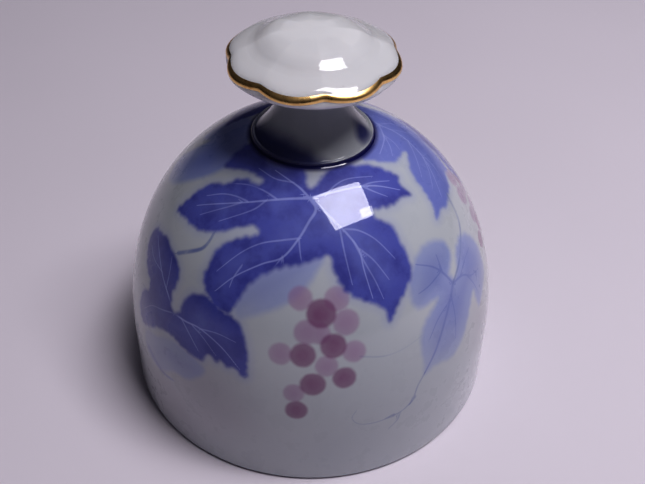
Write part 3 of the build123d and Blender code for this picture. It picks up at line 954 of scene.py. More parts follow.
UNDER_LEAF = Leaf(
    LeafKind.WASH,
    ((-13.4, -1.6), (-9.6, -1.3), (-6.0, 0.0), (-3.0, 1.6), (-1.0, 3.4), (0.6, 5.6), (1.8, 8.8), (-4.0, 9.0),
     (-10.0, 7.0), (-13.0, 3.4)),
    veins=(),
    tone=0.42, shade_towards=(-3.0, 1.6), teeth=0.0,
)
LOW_LEAF = Leaf(
    LeafKind.WASH,
    ((-41.0, -7.6), (-36.0, -8.0), (-31.0, -8.0), (-27.0, -9.6), (-23.6, -11.8), (-21.8, -13.8),
     (-24.0, -15.8),
     (-27.6, -17.2), (-31.6, -16.2), (-35.0, -17.2), (-39.0, -16.6), (-42.6, -13.0)),
    veins=(Stroke(((-41.0, -12.4), (-38.4, -16.0), (-35.6, -18.2), (-33.0, -18.9)), 0.75, 0.3),),
    tone=0.40, shade_towards=(-26.0, -13.4), teeth=0.0,
)
FRONT_LEAVES = (BROAD_LEAF, SHADE_LEAF, HIGH_LEAF, FAR_LOBE, MIST_LEAF, PALE_LEAF, UNDER_LEAF, LOW_LEAF)
BUNCH = Grapes(
    pale=((-1.8, 1.8, 2.1), (4.4, 1.8, 2.2), (6.2, -2.3, 2.4), (-0.7, -4.2, 2.3), (-5.5, -8.4, 2.2),
          (8.0, -7.9, 2.2), (3.0, -10.8, 2.2), (-3.2, -16.9, 2.1), (1.6, -4.4, 2.0)),
    dark=((1.8, -0.8, 2.6), (4.1, -6.75, 2.4), (-1.4, -8.6, 2.4), (0.5, -14.8, 2.5), (6.5, -13.4, 2.3),
          (-2.75, -21.1, 2.3)),
)
SIDE_BUNCH = Grapes(
    pale=((31.9, 28.6, 2.3), (34.8, 24.9, 2.3), (36.9, 28.2, 2.2), (40.6, 25.2, 2.3), (47.6, 23.0, 2.3),
          (39.4, 21.4, 2.1)),
    dark=((43.2, 20.8, 2.6), (35.4, 30.4, 2.0), (44.4, 26.2, 2.3), (48.4, 18.2, 2.4), (42.6, 15.8, 2.2)),
)
FRONT_TENDRILS = (
    Stroke(((-25.8, 9.9), (-22.0, 10.1), (-19.8, 10.5), (-18.4, 11.6), (-17.4, 13.0)), 0.40, 0.24, 1.0),
    Stroke(((28.0, 22.6), (30.2, 19.3), (31.1, 17.0), (31.2, 14.0), (30.5, 9.0), (28.8, 4.6)),
           0.34, 0.26, 0.7),
    Stroke(((24.4, -14.4), (23.2, -17.4), (22.6, -20.8), (20.6, -23.4), (17.4, -24.8), (13.6, -25.7),
            (10.4, -25.4), (8.8, -23.6), (9.6, -21.6)), 0.22, 0.08, 0.6),
    Stroke(((22.9, -20.4), (22.0, -22.2)), 0.5, 0.2, 0.9),
    Stroke(((18.4, -24.4), (16.6, -25.0)), 0.45, 0.2, 0.8),
    Stroke(((19.9, -24.6), (19.6, -26.2), (17.8, -28.4)), 0.25, 0.1, 0.5),
    Stroke(((9.4, -9.0), (14.0, -9.2), (18.0, -8.0), (22.0, -5.6)), 0.18, 0.12, 0.28),
)
BLUSH_SPOTS = ((-24.0, -22.0, 9.0), (-34.0, -26.0, 8.0), (44.0, -4.0, 5.0))

# Blue on the stem's foot: turn from the front in steps of 6 degrees, distance from the axis.
FOOT_PATCHES = (
    ((-19.0, 12.0), (-17.0, 10.2), (-13.0, 9.2), (-9.0, 8.6), (-5.0, 8.5), (-2.0, 9.0), (0.4, 9.9),
     (1.6, 12.0)),
    ((10.4, 10.6), (10.0, 9.4), (11.6, 8.2), (13.6, 8.2), (14.6, 9.4), (14.0, 10.8), (12.2, 11.2)),
)

# The back of the bell, where the same vine goes on.
BACK_LEAVES = (
    BROAD_LEAF.moved((2.0, 2.0), 24.0, 0.92, True),
    PALE_LEAF.moved((-56.0, 8.0), -14.0, 0.95),
    SHADE_LEAF.moved((8.0, -2.0), -20.0, 0.80, True),
    LOW_LEAF.moved((-2.0, -6.0), 10.0, 0.9),
    MIST_LEAF.moved((-2.0, -2.0), -8.0, 0.9),
)
BACK_BUNCH = BUNCH.moved((-9.0, -6.0), 10.0, 0.95, True)
BACK_TENDRILS = (
    Stroke(((-24.0, -12.0), (-20.0, -18.0), (-14.0, -21.0), (-8.0, -20.0), (-6.0, -16.6), (-8.4, -14.6)),
           0.35, 0.1, 0.6),
    Stroke(((14.0, -6.0), (20.0, -12.0), (22.0, -18.0), (19.0, -22.0), (15.0, -21.0)), 0.35, 0.1, 0.6),
)


@dataclass
class Painting:
    """The painting as numbers at the shell's points: signed distances and tones."""

    points: np.ndarray

    def channels(self) -> dict:
        """Every attribute of the painted shell.

        Returns:
            Arrays by attribute name, in millimetres or as shares.
        """
        count = len(self.points)
        out = {name: np.full(count, FAR) for name in ("leaf", "wash", "grape_pale", "grape_dark", "blush",
                                                   "pool")}
        out["leaf_tone"] = np.full(count, 0.5)
        out["wash_tone"] = np.zeros(count)
        for name in ("vein", "twig", "wash_vein", "tendril"):
            out[name] = np.full(count, FAR)
            out[f"{name}_near"] = np.full(count, FAR)
        out["tendril_ink"] = np.zeros(count)
        front = PaintSheet(-90.0).lay(self.points)
        back = PaintSheet(90.0).lay(self.points)
        self.lay_sheet(out, front, FRONT_LEAVES, (BUNCH, SIDE_BUNCH), FRONT_TENDRILS)
        self.lay_sheet(out, back, BACK_LEAVES, (BACK_BUNCH,), BACK_TENDRILS)
        for right, up, radius in BLUSH_SPOTS:
            gap = np.linalg.norm(front - (right, up), axis=1) - radius
            out["blush"] = np.minimum(out["blush"], gap)
        self.foot_ring(out)
        return out

    def lay_sheet(self, out: dict, places: np.ndarray, leaves: tuple, bunches: tuple,
                  tendrils: tuple) -> None:
        """Adds one sheet's motifs to the channels.

        Args:
            out: the channels, changed in place.
            places: the shell's points on the sheet.
            leaves: leaves in any order.
            bunches: bunches of grapes.
            tendrils: strokes outside the leaves.
        """
        for leaf in leaves:
            self.lay_leaf(out, places, leaf)
        for bunch in bunches:
            for name, grapes in (("grape_pale", bunch.pale), ("grape_dark", bunch.dark)):
                for right, up, radius in grapes:
                    gap = np.linalg.norm(places - (right, up), axis=1) - radius
                    out[name] = np.minimum(out[name], gap)
        for stroke in tendrils:
            stroke.lay_on(places, out["tendril"], out["tendril_near"], out["tendril_ink"])

    def lay_leaf(self, out: dict, places: np.ndarray, leaf: Leaf) -> None:
        """Adds one leaf's edge, tone and veins to the channels."""
        key = leaf.kind.value
        gap = ring_distance(places, leaf.ring())
        nearer = gap < out[key]
        out[key] = np.minimum(out[key], gap)
        tone = np.full(len(places), leaf.tone)
        if leaf.shade_towards:
            away = np.linalg.norm(places - leaf.shade_towards, axis=1)
            tone = leaf.tone * np.clip(1.25 - away / 22.0, 0.25, 1.0)
        out[f"{key}_tone"] = np.where(nearer, tone, out[f"{key}_tone"])
        for vein in leaf.veins:
            line = "vein" if vein.width >= MAIN_VEIN else "twig"
            if leaf.kind is LeafKind.WASH:
                line = "wash_vein"
            vein.lay_on(places, out[line], out[f"{line}_near"])

    def foot_ring(self, out: dict) -> None:
        """Blue that pooled in the corner round the stem's foot."""
        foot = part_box("handle_stem")[1].x
        radius = np.linalg.norm(self.points[:, :2], axis=1)
        out["pool"] = (radius - foot) / MM - 0.9


@dataclass
class PaintedBell:
    """The shell: one closed mesh, fine where it is painted."""

    profile: BellProfile = field(default_factory=BellProfile)
    painted_rows: int = 178
    columns: int = 424
    front_reach: float = 85.0      # degrees each side of the front with narrow columns
    back_spread: float = 1.8       # how much wider the columns are at the back
    hidden_radius: float = 10.6 * MM

    def bearings(self) -> np.ndarray:
        """Column angles, closer together over the front than over the back."""
        turn = np.linspace(-180, 180, 3601)
        width = np.where(np.abs(turn) < self.front_reach, 1.0, self.back_spread)
        count = np.concatenate([[0], np.cumsum(1 / width[:-1])])
        places = np.linspace(0, count[-1], self.columns, endpoint=False)
        return np.radians(np.interp(places, count, turn) - 90)

    def build(self) -> bpy.types.Object:
        """Makes the shell with its painting and its bake map."""
        shape = self.profile
        outside = spaced(shape.outside(self.hidden_radius), self.painted_rows)
        under_stem = shape.dome(shape.mouth_radius, shape.rise, shape.vent_radius, 400)
        under_stem = spaced(under_stem[under_stem[:, 0] < self.hidden_radius - 0.2 * MM], 8)
        inside = spaced(shape.inside(), 30)
        profile = np.concatenate([outside, under_stem, inside, shape.lip()])
        grid = SurfaceGrid(turned(profile, self.bearings()), rows_close=True)
        piece = grid.build("painted_bell")
        points = grid.points.reshape(-1, 3)
        painted = self.painted_rows * self.columns
        channels = Painting(points[:painted]).channels()
        for name, values in channels.items():
            full = np.full(len(points), FAR, np.float32)
            if name.endswith(("tone", "ink")):
                full[:] = 0.0
            full[:painted] = values
            attribute = piece.data.attributes.new(name, "FLOAT", "POINT")
            attribute.data.foreach_set("value", full)
        self.bake_map(piece, profile)
        piece.data.materials.append(VinePainting().material())
        return piece

    def bake_map(self, piece: bpy.types.Object, profile: np.ndarray) -> None:
        """Lays the shell flat for baking.

        The painted outside is two strips, front and back, each with the bearing across and
        the way up the wall upwards. The inner wall and the lip share a narrow strip beside them.

        Args:
            piece: the shell.
            profile: its rows, in the order of the mesh.
        """
        rows, columns = len(profile), self.columns
        half = columns // 2
        mesh = piece.data
        corner_points = np.empty(len(mesh.loops), int)
        mesh.loops.foreach_get("vertex_index", corner_points)
        sizes = np.empty(len(mesh.polygons), int)
        mesh.polygons.foreach_get("loop_total", sizes)
        face = np.repeat(np.arange(len(sizes)), sizes)
        row, column = np.divmod(corner_points, columns)
        face_row, face_column = np.divmod(np.arange(len(sizes)), columns)
        row = np.where((face_row[face] == rows - 1) & (row == 0), rows, row)
        column = np.where((face_column[face] == columns - 1) & (column == 0), columns, column)
        painted = face_row[face] < self.painted_rows - 1
        back = face_column[face] >= half
        gap = 0.008
        across = np.where(back, column - half, column) / half
        up = row / (self.painted_rows - 1)
        outer_u = gap + across * (0.80 - 2 * gap)
        outer_v = np.where(back, 0.0, 0.5) + gap + up * (0.5 - 2 * gap)
        rest = (row - self.painted_rows + 1) / (rows - self.painted_rows + 1)
        inner_u = 0.80 + gap + rest * (0.20 - 2 * gap)
        inner_v = gap + column / columns * (1 - 2 * gap)
        u = np.where(painted, outer_u, inner_u)
        v = np.where(painted, outer_v, inner_v)
        layer = mesh.uv_layers.new(name="OFBake")
        layer.data.foreach_set("uv", np.stack([u, v], axis=1).astype(np.float32).reshape(-1))


# ------------------------------------------------------------------ stem, knob and gilding
@dataclass(frozen=True)
class StemPorcelain:
    """White porcelain, painted darker than the bell's as painted shade under the knob, that turns deep blue
    where the glaze pooled round its foot.
    """

    name: str = "stem_porcelain_painted_shade"
    # The stem's white is a darker copy of the bell's: painted shade, as if it lay in the knob's shadow.
    clay: WhitePorcelain = WhitePorcelain("stem_clay_painted_shade", (0.46, 0.475, 0.50), (0.42, 0.44, 0.47))
    cobalt: tuple = (0.030, 0.034, 0.15)
    pool: tuple = (0.012, 0.012, 0.10)

    def material(self) -> bpy.types.Material:
        """The finished material."""
        board = NodeBoard(self.name)
        wander = board.maths("MULTIPLY_ADD", board.noise(300.0, 2.0), 0.6, -0.3)
        patch = board.ramp(board.maths("ADD", board.attribute("foot_paint"), wander), 1.2, -1.2)
        colour = board.mix(board.maths("MULTIPLY", patch, 0.92), self.clay.colour(board), self.cobalt)
        share = board.ramp(board.attribute("pool"), 0.35, 0.9)
        colour = board.mix(share, colour, self.pool)
        roughness = board.ramp(board.noise(70.0, 2.0), 0.3, 0.7, 0.25, 0.35)
        return self.clay.glaze.finish(board, colour, roughness)


@dataclass
class TrumpetStem:
    """Hollow flared stem with a beaded lip, and glaze pooled between the lip and the dome."""

    profile: BellProfile = field(default_factory=BellProfile)
    foot_radius: float = field(default_factory=lambda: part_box("handle_stem")[1].x)
    seat: float = field(default_factory=lambda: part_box("handle_stem")[1].z)
    neck_radius: float = 5.2 * MM
    lip_height: float = 0.70 * MM
    bead: float = 0.26 * MM        # radius of the lip's round
    pool_width: float = 0.45 * MM
    flare_angle: float = 44.0      # degrees from level just inside the lip
    flare_reach: float = 3.8 * MM  # how far the flare keeps that slope
    wall: float = 2.0 * MM
    paint_turn: float = 6.0        # degrees round the stem drawn as one millimetre
    columns: int = 192

    def build(self) -> bpy.types.Object:
        """Makes the stem.

        From the dome up: a hollow fillet of glaze, the round bead, a shallow valley, then
        the flare as a cubic curve up to the neck.
        """
        shape = self.profile
        lip_z = shape.height_at(self.foot_radius) + self.lip_height
        outer = self.foot_radius + self.pool_width
        start = (outer, shape.height_at(outer) - 0.02 * MM)
        pool = bezier(start, (self.foot_radius + 0.20 * MM, shape.height_at(self.foot_radius) + 0.02 * MM),
                      (self.foot_radius, lip_z - 0.55 * MM), (self.foot_radius, lip_z - self.bead), 14)
        centre = (self.foot_radius - self.bead, lip_z - self.bead)
        bead = arc(centre, self.bead, 0, 125, 12)
        slope = math.radians(self.flare_angle)
        valley = (self.foot_radius - 0.75 * MM, lip_z + 0.06 * MM)
        rise = (math.cos(slope), math.sin(slope))
        before = (valley[0] + 0.20 * MM * rise[0], valley[1] - 0.20 * MM * rise[1])
        dip = bezier(tuple(bead[-1]), (bead[-1][0] - 0.06 * MM, bead[-1][1] - 0.07 * MM), before, valley, 8)
        pull = (valley[0] - self.flare_reach * rise[0], valley[1] + self.flare_reach * rise[1])
        flare = bezier(valley, pull, (self.neck_radius, self.seat - 4.4 * MM),
                       (self.neck_radius, self.seat), 60)
        bore = self.neck_radius - self.wall
        under = self.foot_radius - self.wall
        inner = bezier((bore, self.seat), (bore, self.seat - 5 * MM), (under, lip_z - self.wall + 1.5 * MM),
                       (under, shape.height_at(under)), 24)
        base = spaced(np.array([[under, shape.height_at(under)], [self.foot_radius, start[1] - 0.10 * MM],
                                [outer, start[1] - 0.06 * MM]]), 6)[1:]
        profile = np.concatenate([pool, bead[1:], dip[1:], flare[1:], inner, base])
        grid = SurfaceGrid(turned(profile, even_bearings(self.columns)), rows_close=True)
        piece = grid.build("trumpet_stem")
        outside = len(pool) + len(bead) + len(dip) + len(flare) - 3
        self.paint_foot(piece, grid.points.reshape(-1, 3), outside * self.columns)
        share = np.zeros(len(profile), np.float32)
        share[:len(pool)] = 1.0
        share[len(pool):len(pool) + 4] = np.linspace(0.9, 0.3, 4)
        share[-len(base):] = 1.0
        attribute = piece.data.attributes.new("pool", "FLOAT", "POINT")
        attribute.data.foreach_set("value", np.repeat(share, self.columns))
        piece.data.materials.append(StemPorcelain().material())
        return piece

    def paint_foot(self, piece: bpy.types.Object, points: np.ndarray, painted: int) -> None:
        """Writes how far each point is from the blue that runs up the stem's foot.

        The patches are drawn flat, with the turn from the front across and the distance
        from the axis upwards.

        Args:
            piece: the stem.
            points: its points, row by row.
            painted: how many of them are outside.
        """
        turn = np.degrees(np.arctan2(points[:painted, 0], -points[:painted, 1])) / self.paint_turn
        flat = np.stack([turn, np.linalg.norm(points[:painted, :2], axis=1) / MM], axis=1)
        gap = np.full(len(points), FAR, np.float32)
        for patch in FOOT_PATCHES:
            gap[:painted] = np.minimum(gap[:painted], ring_distance(flat, smooth_ring(patch)))
        attribute = piece.data.attributes.new("foot_paint", "FLOAT", "POINT")
        attribute.data.foreach_set("value", gap)


@dataclass
class ScallopedKnob:
    """Cap with a broad low crown and eight petals, each a shallow flute between two ridges.

    Attributes:
        crown: radius and drop below the top, in millimetres, down to the gilding.
        edge: the same, over the gilded edge.
    """

    top: float = field(default_factory=lambda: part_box("handle_knob")[1].z)
    seat: float = field(default_factory=lambda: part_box("handle_knob")[0].z)
    radius: float = 16.0 * MM
    neck_radius: float = 5.2 * MM
    lobes: int = 8
    phase: float = 7.0             # degrees from the front to the first notch, towards +X
    notch_depth: float = 1.0 * MM
    ridge: float = 0.42 * MM       # how far the petals' ridges stand up
    crown: tuple = ((0.0, 0.0), (3.0, 0.10), (5.5, 0.38), (7.5, 0.84), (8.6, 1.28), (9.7, 1.92), (10.6, 2.51),
                    (11.6, 3.00), (12.3, 3.28), (13.0, 3.57), (13.8, 3.92), (14.4, 4.22), (14.8, 4.46))
    edge: tuple = ((15.05, 4.64), (15.55, 5.03), (15.88, 5.42), (16.0, 5.84), (15.97, 6.22))
    columns: int = 400

    def notch_wave(self, bearings: np.ndarray) -> np.ndarray:
        """1 in a notch falling to 0 on a lobe: 1 - |sin| of half the lobe angle, its cusp rounded."""
        angle = (bearings + math.pi / 2 - math.radians(self.phase)) * self.lobes / 2
        return 1 - np.sqrt((np.sin(angle) ** 2 + 0.010) / 1.010)

    def section(self) -> tuple:
        """The cap's section from the top, over the edge and down the underside to the neck.

        Returns:
            Radius, height and lobe share of each row, then the first and last row of the edge.
        """
        mirrored = (tuple((-r, d) for r, d in self.crown[:0:-1][-1:]) + self.crown + self.edge)
        curve = smooth_line(mirrored, 8)[8:]
        gilt_first = int(np.argmin(np.abs(curve[:, 0] - self.edge[0][0])))
        over = np.stack([curve[:, 0] * MM, self.top - curve[:, 1] * MM], axis=1)
        low = over[-1]
        under = bezier(tuple(low), (low[0] - 0.05 * MM, low[1] - 1.2 * MM),
                       (self.neck_radius + 6.0 * MM, self.seat), (self.neck_radius, self.seat), 40)
        points = np.concatenate([over, under[1:]])
        radius, height = points.T
        lobe = np.clip(radius / self.radius, 0, 1) ** 6
        lobe = lobe * np.clip(1 - (low[1] - height) / (1.1 * MM), 0, 1) ** 1.5
        return radius, height, lobe, gilt_first, len(over) - 1

    def surface(self, proud: float = 0.0) -> np.ndarray:
        """Points of the whole cap.

        The radius shrinks by notch depth x lobe share x notch wave, and the top rises by
        ridge x how far out it is x the same wave.

        Args:
            proud: how far the surface stands out, in metres.
        """
        radius, height, lobe, _, last = self.section()
        bearings = even_bearings(self.columns)
        notch = self.notch_wave(bearings)[None, :]
        across, along = np.gradient(height), np.gradient(radius)
        size = np.maximum(np.hypot(across, along), 1e-12)
        out_r, out_z = -across / size, along / size
        raised = np.clip(radius / self.radius - 0.15, 0, 1) / 0.85
        raised = np.where(np.arange(len(radius)) <= last, raised ** 1.2, lobe)
        r = radius[:, None] + proud * out_r[:, None] - self.notch_depth * lobe[:, None] * notch
        z = height[:, None] + proud * out_z[:, None] + self.ridge * raised[:, None] * notch
        return np.stack([r * np.cos(bearings), r * np.sin(bearings), z], axis=2)

    def build(self) -> bpy.types.Object:
        """Makes the white cap, its white a lighter copy of the bell's: painted light on its top."""
        points = self.surface()
        base = np.zeros((1, self.columns, 3))
        base[..., 2] = self.seat
        points = np.concatenate([points, base])
        piece = SurfaceGrid(points, start_pole=True, end_pole=True).build("scalloped_knob")
        glowing = ClearGlaze(glow=0.7, glow_reach=0.0045)
        # Lighter white than the bell's: painted light, as if the lamp fell full on the cap.
        clay = WhitePorcelain("knob_porcelain_painted_light", (0.70, 0.70, 0.72), (0.66, 0.665, 0.69), glaze=glowing)
        piece.data.materials.append(clay.material())
        return piece

    def build_gilding(self) -> bpy.types.Object:
        """Makes the gold film: the edge's rows again, standing a little proud, thin at both margins."""
        first, last = self.section()[3:5]
        rows = slice(first, last + 1)
        count = last + 1 - first
        swell = np.clip(np.sin(np.linspace(0, math.pi, count)), 0, 1) ** 0.5
        under = self.surface(-0.04 * MM)[rows]
        over = self.surface(0.03 * MM)[rows]
        film = under + (over - under) * swell[:, None, None]
        points = np.concatenate([film, under[::-1][1:-1]])
        piece = SurfaceGrid(points, rows_close=True).build("gilding")
        piece.data.materials.append(FiredGold().material())
        return piece


# ------------------------------------------------------------------ plug, chain and clapper
@dataclass
class ClapperString:
    """Plug, hanger loop, chain, pin, ball and stop bead, each where its solid is."""

    wire: float = 0.9 * MM
    hanger_wire: float = 1.0 * MM
    eye: float = 3.8 * MM

    def metal(self, piece: bpy.types.Object, node: str, body: str) -> None:
        """Gives a wire piece its brass and lets it stand for its solid."""
        piece.data.materials.append(bpy.data.materials.get("drawn_brass") or DrawnBrass().material())
        place(piece, node, body, "chain_brass")

    def plug(self) -> None:
        """Cement skin under the crown, slightly lumpy: the height swells with slow waves."""
        low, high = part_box("crown_plug")
        edge = high.x
        t = np.linspace(0, 1, 26)
        radius = edge * np.sin(t * math.pi / 2)
        height = low.z + (self.rim_height() - low.z) * (1 - np.cos(t * math.pi / 2)) ** 1.4
        profile = np.stack([radius, height], axis=1)
        vent = np.array([[3.0 * MM, self.rim_height() + 0.3 * MM], [3.0 * MM, high.z - 2.0 * MM],
                         [4.5 * MM, high.z - 1.9 * MM], [4.4 * MM, high.z - 0.3 * MM], [0.0, high.z]])
        bearings = even_bearings(96)
        points = turned(np.concatenate([profile, vent]), bearings)
        lumps = np.sin(3 * bearings)[None, :] * np.sin(4 * math.pi * t)[:, None] * 0.09 * MM
        points[:len(t), :, 2] += lumps - 0.02 * MM
        piece = SurfaceGrid(points, start_pole=True, end_pole=True).build("cement_plug")
        piece.data.materials.append(CastCement().material())
        place(piece, "crown_plug", "bell", "cement")

    def rim_height(self) -> float:
        """Height at which the plug's skin meets the inner crown."""
        shape = BellProfile()
        base = shape.mouth_radius - shape.wall
        share = (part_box("crown_plug")[1].x / base) ** shape.power
        return shape.straight_wall + (shape.rise - shape.crown) * (1 - share) ** (1 / shape.power)

    def hanger(self) -> None:
        """A U of wire: two legs joined by half a circle."""
        low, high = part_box("hanger_eye")
        half = (high.x - low.x - self.hanger_wire) / 2
        bottom = low.z + self.hanger_wire / 2
        bend = arc((0.0, bottom + half), half, 180, 360, 40)
        top = high.z - self.hanger_wire
        path = np.concatenate([[[-half, top]], bend, [[half, top]]])
        path = spaced(path, 70)
        points = np.stack([path[:, 0], np.zeros(len(path)), path[:, 1]], axis=1)
        radius = np.full(len(points), self.hanger_wire / 2)
        self.metal(tube(points, (0, 1, 0), radius, False).build("hanger_loop"), "hanger_eye", "bell")

    def link(self, number: int) -> None:
        """An oval of wire, two half circles and two straights, with a small swelling where it is soldered."""
        node = f"chain_link_{number}"
        low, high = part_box(node)
        across = (high.y - low.y) > (high.x - low.x)
        width = max(high.x - low.x, high.y - low.y)
        bend = (width - self.wire) / 2
        bottom, top = low.z + self.wire / 2 + bend, high.z - self.wire / 2 - bend
        path = np.concatenate([arc((0.0, top), bend, 0, 180, 40), arc((0.0, bottom), bend, 180, 360, 40)])
        path = spaced(np.concatenate([path, path[:1]]), 121)[:-1]
        solder = np.exp(-((path[:, 1] - (bottom + top) / 2) / (0.45 * MM)) ** 2) * (path[:, 0] > 0)
        radius = self.wire / 2 * (1 + 0.10 * solder)
        level = np.zeros(len(path))
        if across:
            points, normal = np.stack([level, path[:, 0], path[:, 1]], axis=1), (1, 0, 0)
        else:
            points, normal = np.stack([path[:, 0], level, path[:, 1]], axis=1), (0, 1, 0)
        self.metal(tube(points, normal, radius, True).build(f"wire_link_{number}"), node, f"link_{number}")

    def pin(self) -> None:
        """A straight shank that turns sharply into a round eye."""
        low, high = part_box("clapper_pin")
        across = (high.y - low.y) > (high.x - low.x)
        ring = (self.eye - self.wire) / 2
        centre = high.z - self.wire / 2 - ring
        corner = 0.45 * MM
        start = -90 + math.degrees(math.asin(corner / ring))
        bend = arc((corner, centre - ring - corner + 0.06 * MM), corner, 180, 90, 10)
        loop = arc((0.0, centre), ring, start + 4, 262, 90)
        shank = np.array([[0.0, low.z + self.wire / 2]])
        path = spaced(np.concatenate([shank, bend, loop]), 190)
        level = np.zeros(len(path))
        if across:
            points, normal = np.stack([level, path[:, 0], path[:, 1]], axis=1), (1, 0, 0)
        else:
            points, normal = np.stack([path[:, 0], level, path[:, 1]], axis=1), (0, 1, 0)
        radius = np.full(len(points), self.wire / 2)
        self.metal(tube(points, normal, radius, False).build("eye_pin"), "clapper_pin", "clapper")

    def ball(self) -> None:
        """A glazed ball: a circle's arc between two flats, closed by the bore."""
        low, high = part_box("clapper_ball")
        radius, centre = high.x, (low.z + high.z) / 2
        bore = self.wire / 2 + 0.08 * MM
        reach = math.degrees(math.asin((high.z - centre) / radius))
        skin = arc((0.0, centre), radius, -reach, reach, 90)
        flat = 0.35 * MM
        top = np.array([[bore + flat, high.z], [bore, high.z - 0.2 * MM]])
        foot = np.array([[bore, low.z + 0.2 * MM], [bore + flat, low.z]])
        profile = np.concatenate([foot, skin, top])
        piece = SurfaceGrid(turned(profile, even_bearings(128)), rows_close=True).build("porcelain_ball")
        piece.data.materials.append(WhitePorcelain("ball_porcelain").material())
        place(piece, "clapper_ball", "ball", "clapper_porcelain")

    def bead(self) -> None:
        """A crimped tube: its radius dips on two sides halfway up."""
        low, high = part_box("stop_bead")
        radius, middle = high.x, (low.z + high.z) / 2
        half = (high.z - low.z) / 2
        round_off = half * 0.55
        side = np.concatenate([arc((radius - round_off, middle - half + round_off), round_off, -90, 0, 8),
                               arc((radius - round_off, middle + half - round_off), round_off, 0, 90, 8)])
        bore = self.wire / 2 + 0.01 * MM
        profile = np.concatenate([[[bore, low.z]], side, [[bore, high.z]]])
        bearings = even_bearings(72)
        # Drawn brass wire, dulled in patches.
        points = turned(profile, bearings)
        waist = np.exp(-((profile[:, 1] - middle) / (0.35 * MM)) ** 2) * (profile[:, 0] > bore * 1.5)
        pinch = 1 - 0.16 * waist[:, None] * np.cos(bearings)[None, :] ** 6
        points[..., :2] *= pinch[..., None]
        piece = SurfaceGrid(points, rows_close=True).build("crimp_bead")
        self.metal(piece, "stop_bead", "clapper")

    def build(self) -> None:
        """Makes every piece of the clapper from the plug down."""
        self.plug()
        self.hanger()
        for number in range(1, 6):
            self.link(number)
        self.pin()
        self.ball()
        self.bead()


def place(piece: bpy.types.Object, node: str, body: str, slot: str) -> None:
    """Lets a piece stand for a CAD node and move with its body.

    Args:
        piece: the finished object.
        node: the CAD node that it replaces.
        body: the body that carries it.
        slot: not used.
    """
    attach(piece, body)
    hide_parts(node)
    log.info("%s stands for %s on %s, %d faces", piece.name, node, body, len(piece.data.polygons))


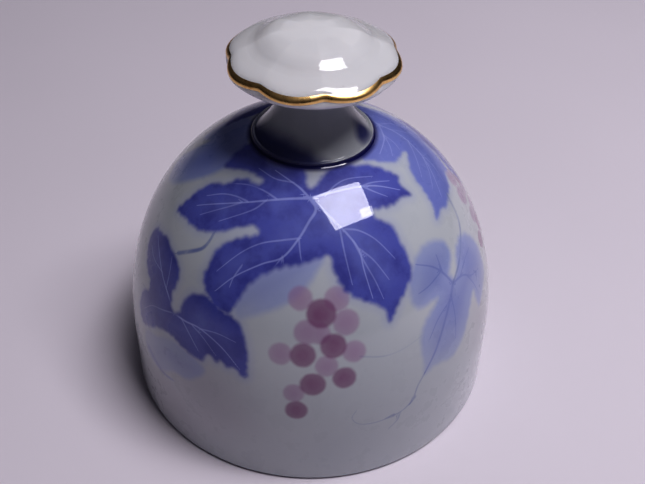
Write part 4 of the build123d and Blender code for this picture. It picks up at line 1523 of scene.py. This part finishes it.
# ------------------------------------------------------------------ table, light and camera
@dataclass
class Studio:
    """Pale table, overhead soft light and the camera."""

    table_size: float = 3.0
    camera_height: float = 157.34 * MM
    camera_back: float = 150.71 * MM
    pitch: float = 40.40
    yaw: float = 0.862
    roll: float = 1.116
    lens: float = 53.28
    sensor: float = 36.0

    def table(self) -> None:
        """One large level sheet just under the mouth, as a grid of a few cells."""
        side = np.linspace(-self.table_size / 2, self.table_size / 2, 9)
        x, y = np.meshgrid(side, side)
        points = np.stack([x, y, np.zeros_like(x)], axis=2).reshape(-1, 3)
        row, column = np.divmod(np.arange(64), 8)
        first = row * 9 + column
        faces = np.stack([first, first + 1, first + 10, first + 9], axis=1)
        mesh = bpy.data.meshes.new("table_top")
        mesh.from_pydata(points.tolist(), [], faces.tolist())
        top = bpy.data.objects.new("table_top", mesh)
        bpy.context.scene.collection.objects.link(top)
        mesh.materials.append(PaleTable().material())
        top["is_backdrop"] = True

    def lamp(self, name: str, place_at: tuple, aim: tuple, size: tuple, radiance: float, colour: tuple,
             spin: float = 0.0) -> None:
        """A rectangular soft light.

        Its power is radiance x pi x area, so that its brightness doesn't change with its size.

        Args:
            name: the light's name.
            place_at: its centre.
            aim: the point that it faces.
            size: its two sides.
            radiance: how bright its face looks.
            colour: its tint.
            spin: its turn about its own axis, in degrees.
        """
        data = bpy.data.lights.new(name, "AREA")
        data.shape = "RECTANGLE"
        data.size, data.size_y = size
        data.energy = radiance * math.pi * size[0] * size[1]
        data.color = colour
        light = bpy.data.objects.new(name, data)
        facing = (Vector(aim) - Vector(place_at)).to_track_quat("-Z", "Y").to_matrix().to_4x4()
        turn = Matrix.Rotation(math.radians(spin), 4, "Z")
        light.matrix_world = Matrix.Translation(place_at) @ facing @ turn
        bpy.context.scene.collection.objects.link(light)

    def lights(self) -> None:
        """Overhead window on the right, weak fills, and a dim room."""
        self.lamp("overhead_window", (0.277, -0.107, 0.775), (0.277, -0.107, 0.0), (0.405, 0.375), 8.7,
                  (1.0, 0.965, 1.0), 33.0)
        self.lamp("window_glare", (0.462, -0.122, 0.755), (0.462, -0.122, 0.0), (0.14, 0.095), 5.5,
                  (1.0, 0.98, 0.97), 33.0)
        self.lamp("back_fill", (0.10, 1.1, 0.70), (0.0, 0.0, 0.03), (1.0, 0.4), 0.3, (0.97, 0.95, 1.0))

    def room(self) -> None:
        """Dim room, a little lighter overhead, with a pale backdrop behind the table.

        The backdrop is what the camera sees past the table's edge: it lights nothing and
        the glaze doesn't mirror it.
        """
        world = bpy.data.worlds.new("dim_room")
        world.use_nodes = True
        bpy.context.scene.world = world
        tree = world.node_tree
        nodes, links = tree.nodes, tree.links
        nodes.clear()
        direction = nodes.new("ShaderNodeTexCoord")
        split = nodes.new("ShaderNodeSeparateXYZ")
        links.new(direction.outputs["Generated"], split.inputs[0])
        lift = nodes.new("ShaderNodeMapRange")
        lift.interpolation_type = "SMOOTHSTEP"
        lift.inputs["From Min"].default_value = -0.1
        lift.inputs["From Max"].default_value = 0.95
        links.new(split.outputs["Z"], lift.inputs[0])
        blend = nodes.new("ShaderNodeMix")
        blend.data_type = "RGBA"
        blend.inputs["A"].default_value = (0.012, 0.012, 0.015, 1)
        blend.inputs["B"].default_value = (0.060, 0.058, 0.066, 1)
        links.new(lift.outputs[0], blend.inputs["Factor"])
        glow = nodes.new("ShaderNodeBackground")
        links.new(blend.outputs["Result"], glow.inputs["Color"])
        sweep = nodes.new("ShaderNodeMapRange")
        sweep.interpolation_type = "SMOOTHSTEP"
        sweep.inputs["From Min"].default_value = -0.02
        sweep.inputs["From Max"].default_value = 0.30
        links.new(split.outputs["Z"], sweep.inputs[0])
        fade = nodes.new("ShaderNodeMix")
        fade.data_type = "RGBA"
        fade.inputs["A"].default_value = (0.030, 0.028, 0.033, 1)
        fade.inputs["B"].default_value = (0.30, 0.28, 0.32, 1)
        links.new(sweep.outputs[0], fade.inputs["Factor"])
        backdrop = nodes.new("ShaderNodeBackground")
        links.new(fade.outputs["Result"], backdrop.inputs["Color"])
        seen = nodes.new("ShaderNodeLightPath")
        choice = nodes.new("ShaderNodeMixShader")
        links.new(seen.outputs["Is Camera Ray"], choice.inputs["Fac"])
        links.new(glow.outputs[0], choice.inputs[1])
        links.new(backdrop.outputs[0], choice.inputs[2])
        end = nodes.new("ShaderNodeOutputWorld")
        links.new(choice.outputs[0], end.inputs["Surface"])

    def camera(self) -> None:
        """Camera in front and above, looking down at the bell."""
        pitch, yaw, roll = (math.radians(a) for a in (self.pitch, self.yaw, self.roll))
        ahead = Vector((math.sin(yaw) * math.cos(pitch), math.cos(yaw) * math.cos(pitch), -math.sin(pitch)))
        level = Vector((math.cos(yaw), -math.sin(yaw), 0.0))
        above = level.cross(ahead)
        right = math.cos(roll) * level + math.sin(roll) * above
        up = math.cos(roll) * above - math.sin(roll) * level
        turn = Matrix((right, up, -ahead)).transposed().to_4x4()
        data = bpy.data.cameras.new("camera")
        data.lens = self.lens
        data.sensor_width = self.sensor
        data.clip_start = 0.005
        camera = bpy.data.objects.new("camera", data)
        camera.matrix_world = Matrix.Translation((0.0, -self.camera_back, self.camera_height)) @ turn
        bpy.context.scene.collection.objects.link(camera)
        bpy.context.scene.camera = camera

    def build(self) -> None:
        """Sets the whole stage."""
        self.table()
        self.lights()
        self.room()
        self.camera()
        bpy.context.scene.view_settings.view_transform = "Standard"
        bpy.context.scene.view_settings.look = "High Contrast"


def write_sizes() -> None:
    """Puts the CAD box and the visual model's box side by side as plain numbers; nothing is written."""
    boxes = {"cad": CAD_BOX, "visual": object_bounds()}
    plain = {name: [[float(v) for v in corner] for corner in box] for name, box in boxes.items()}


def main() -> None:
    """Builds the bell from the outside in, then its stage."""
    logging.basicConfig(level=logging.INFO, format="%(message)s")
    place(PaintedBell().build(), "bell_shell", "bell", "painted_porcelain")
    place(TrumpetStem().build(), "handle_stem", "bell", "white_porcelain")
    knob = ScallopedKnob()
    place(knob.build(), "handle_knob", "bell", "white_porcelain")
    place(knob.build_gilding(), "gilt_edge", "bell", "gilding")
    ClapperString().build()
    Studio().build()
    write_sizes()


if __name__ == "__main__":
    main()
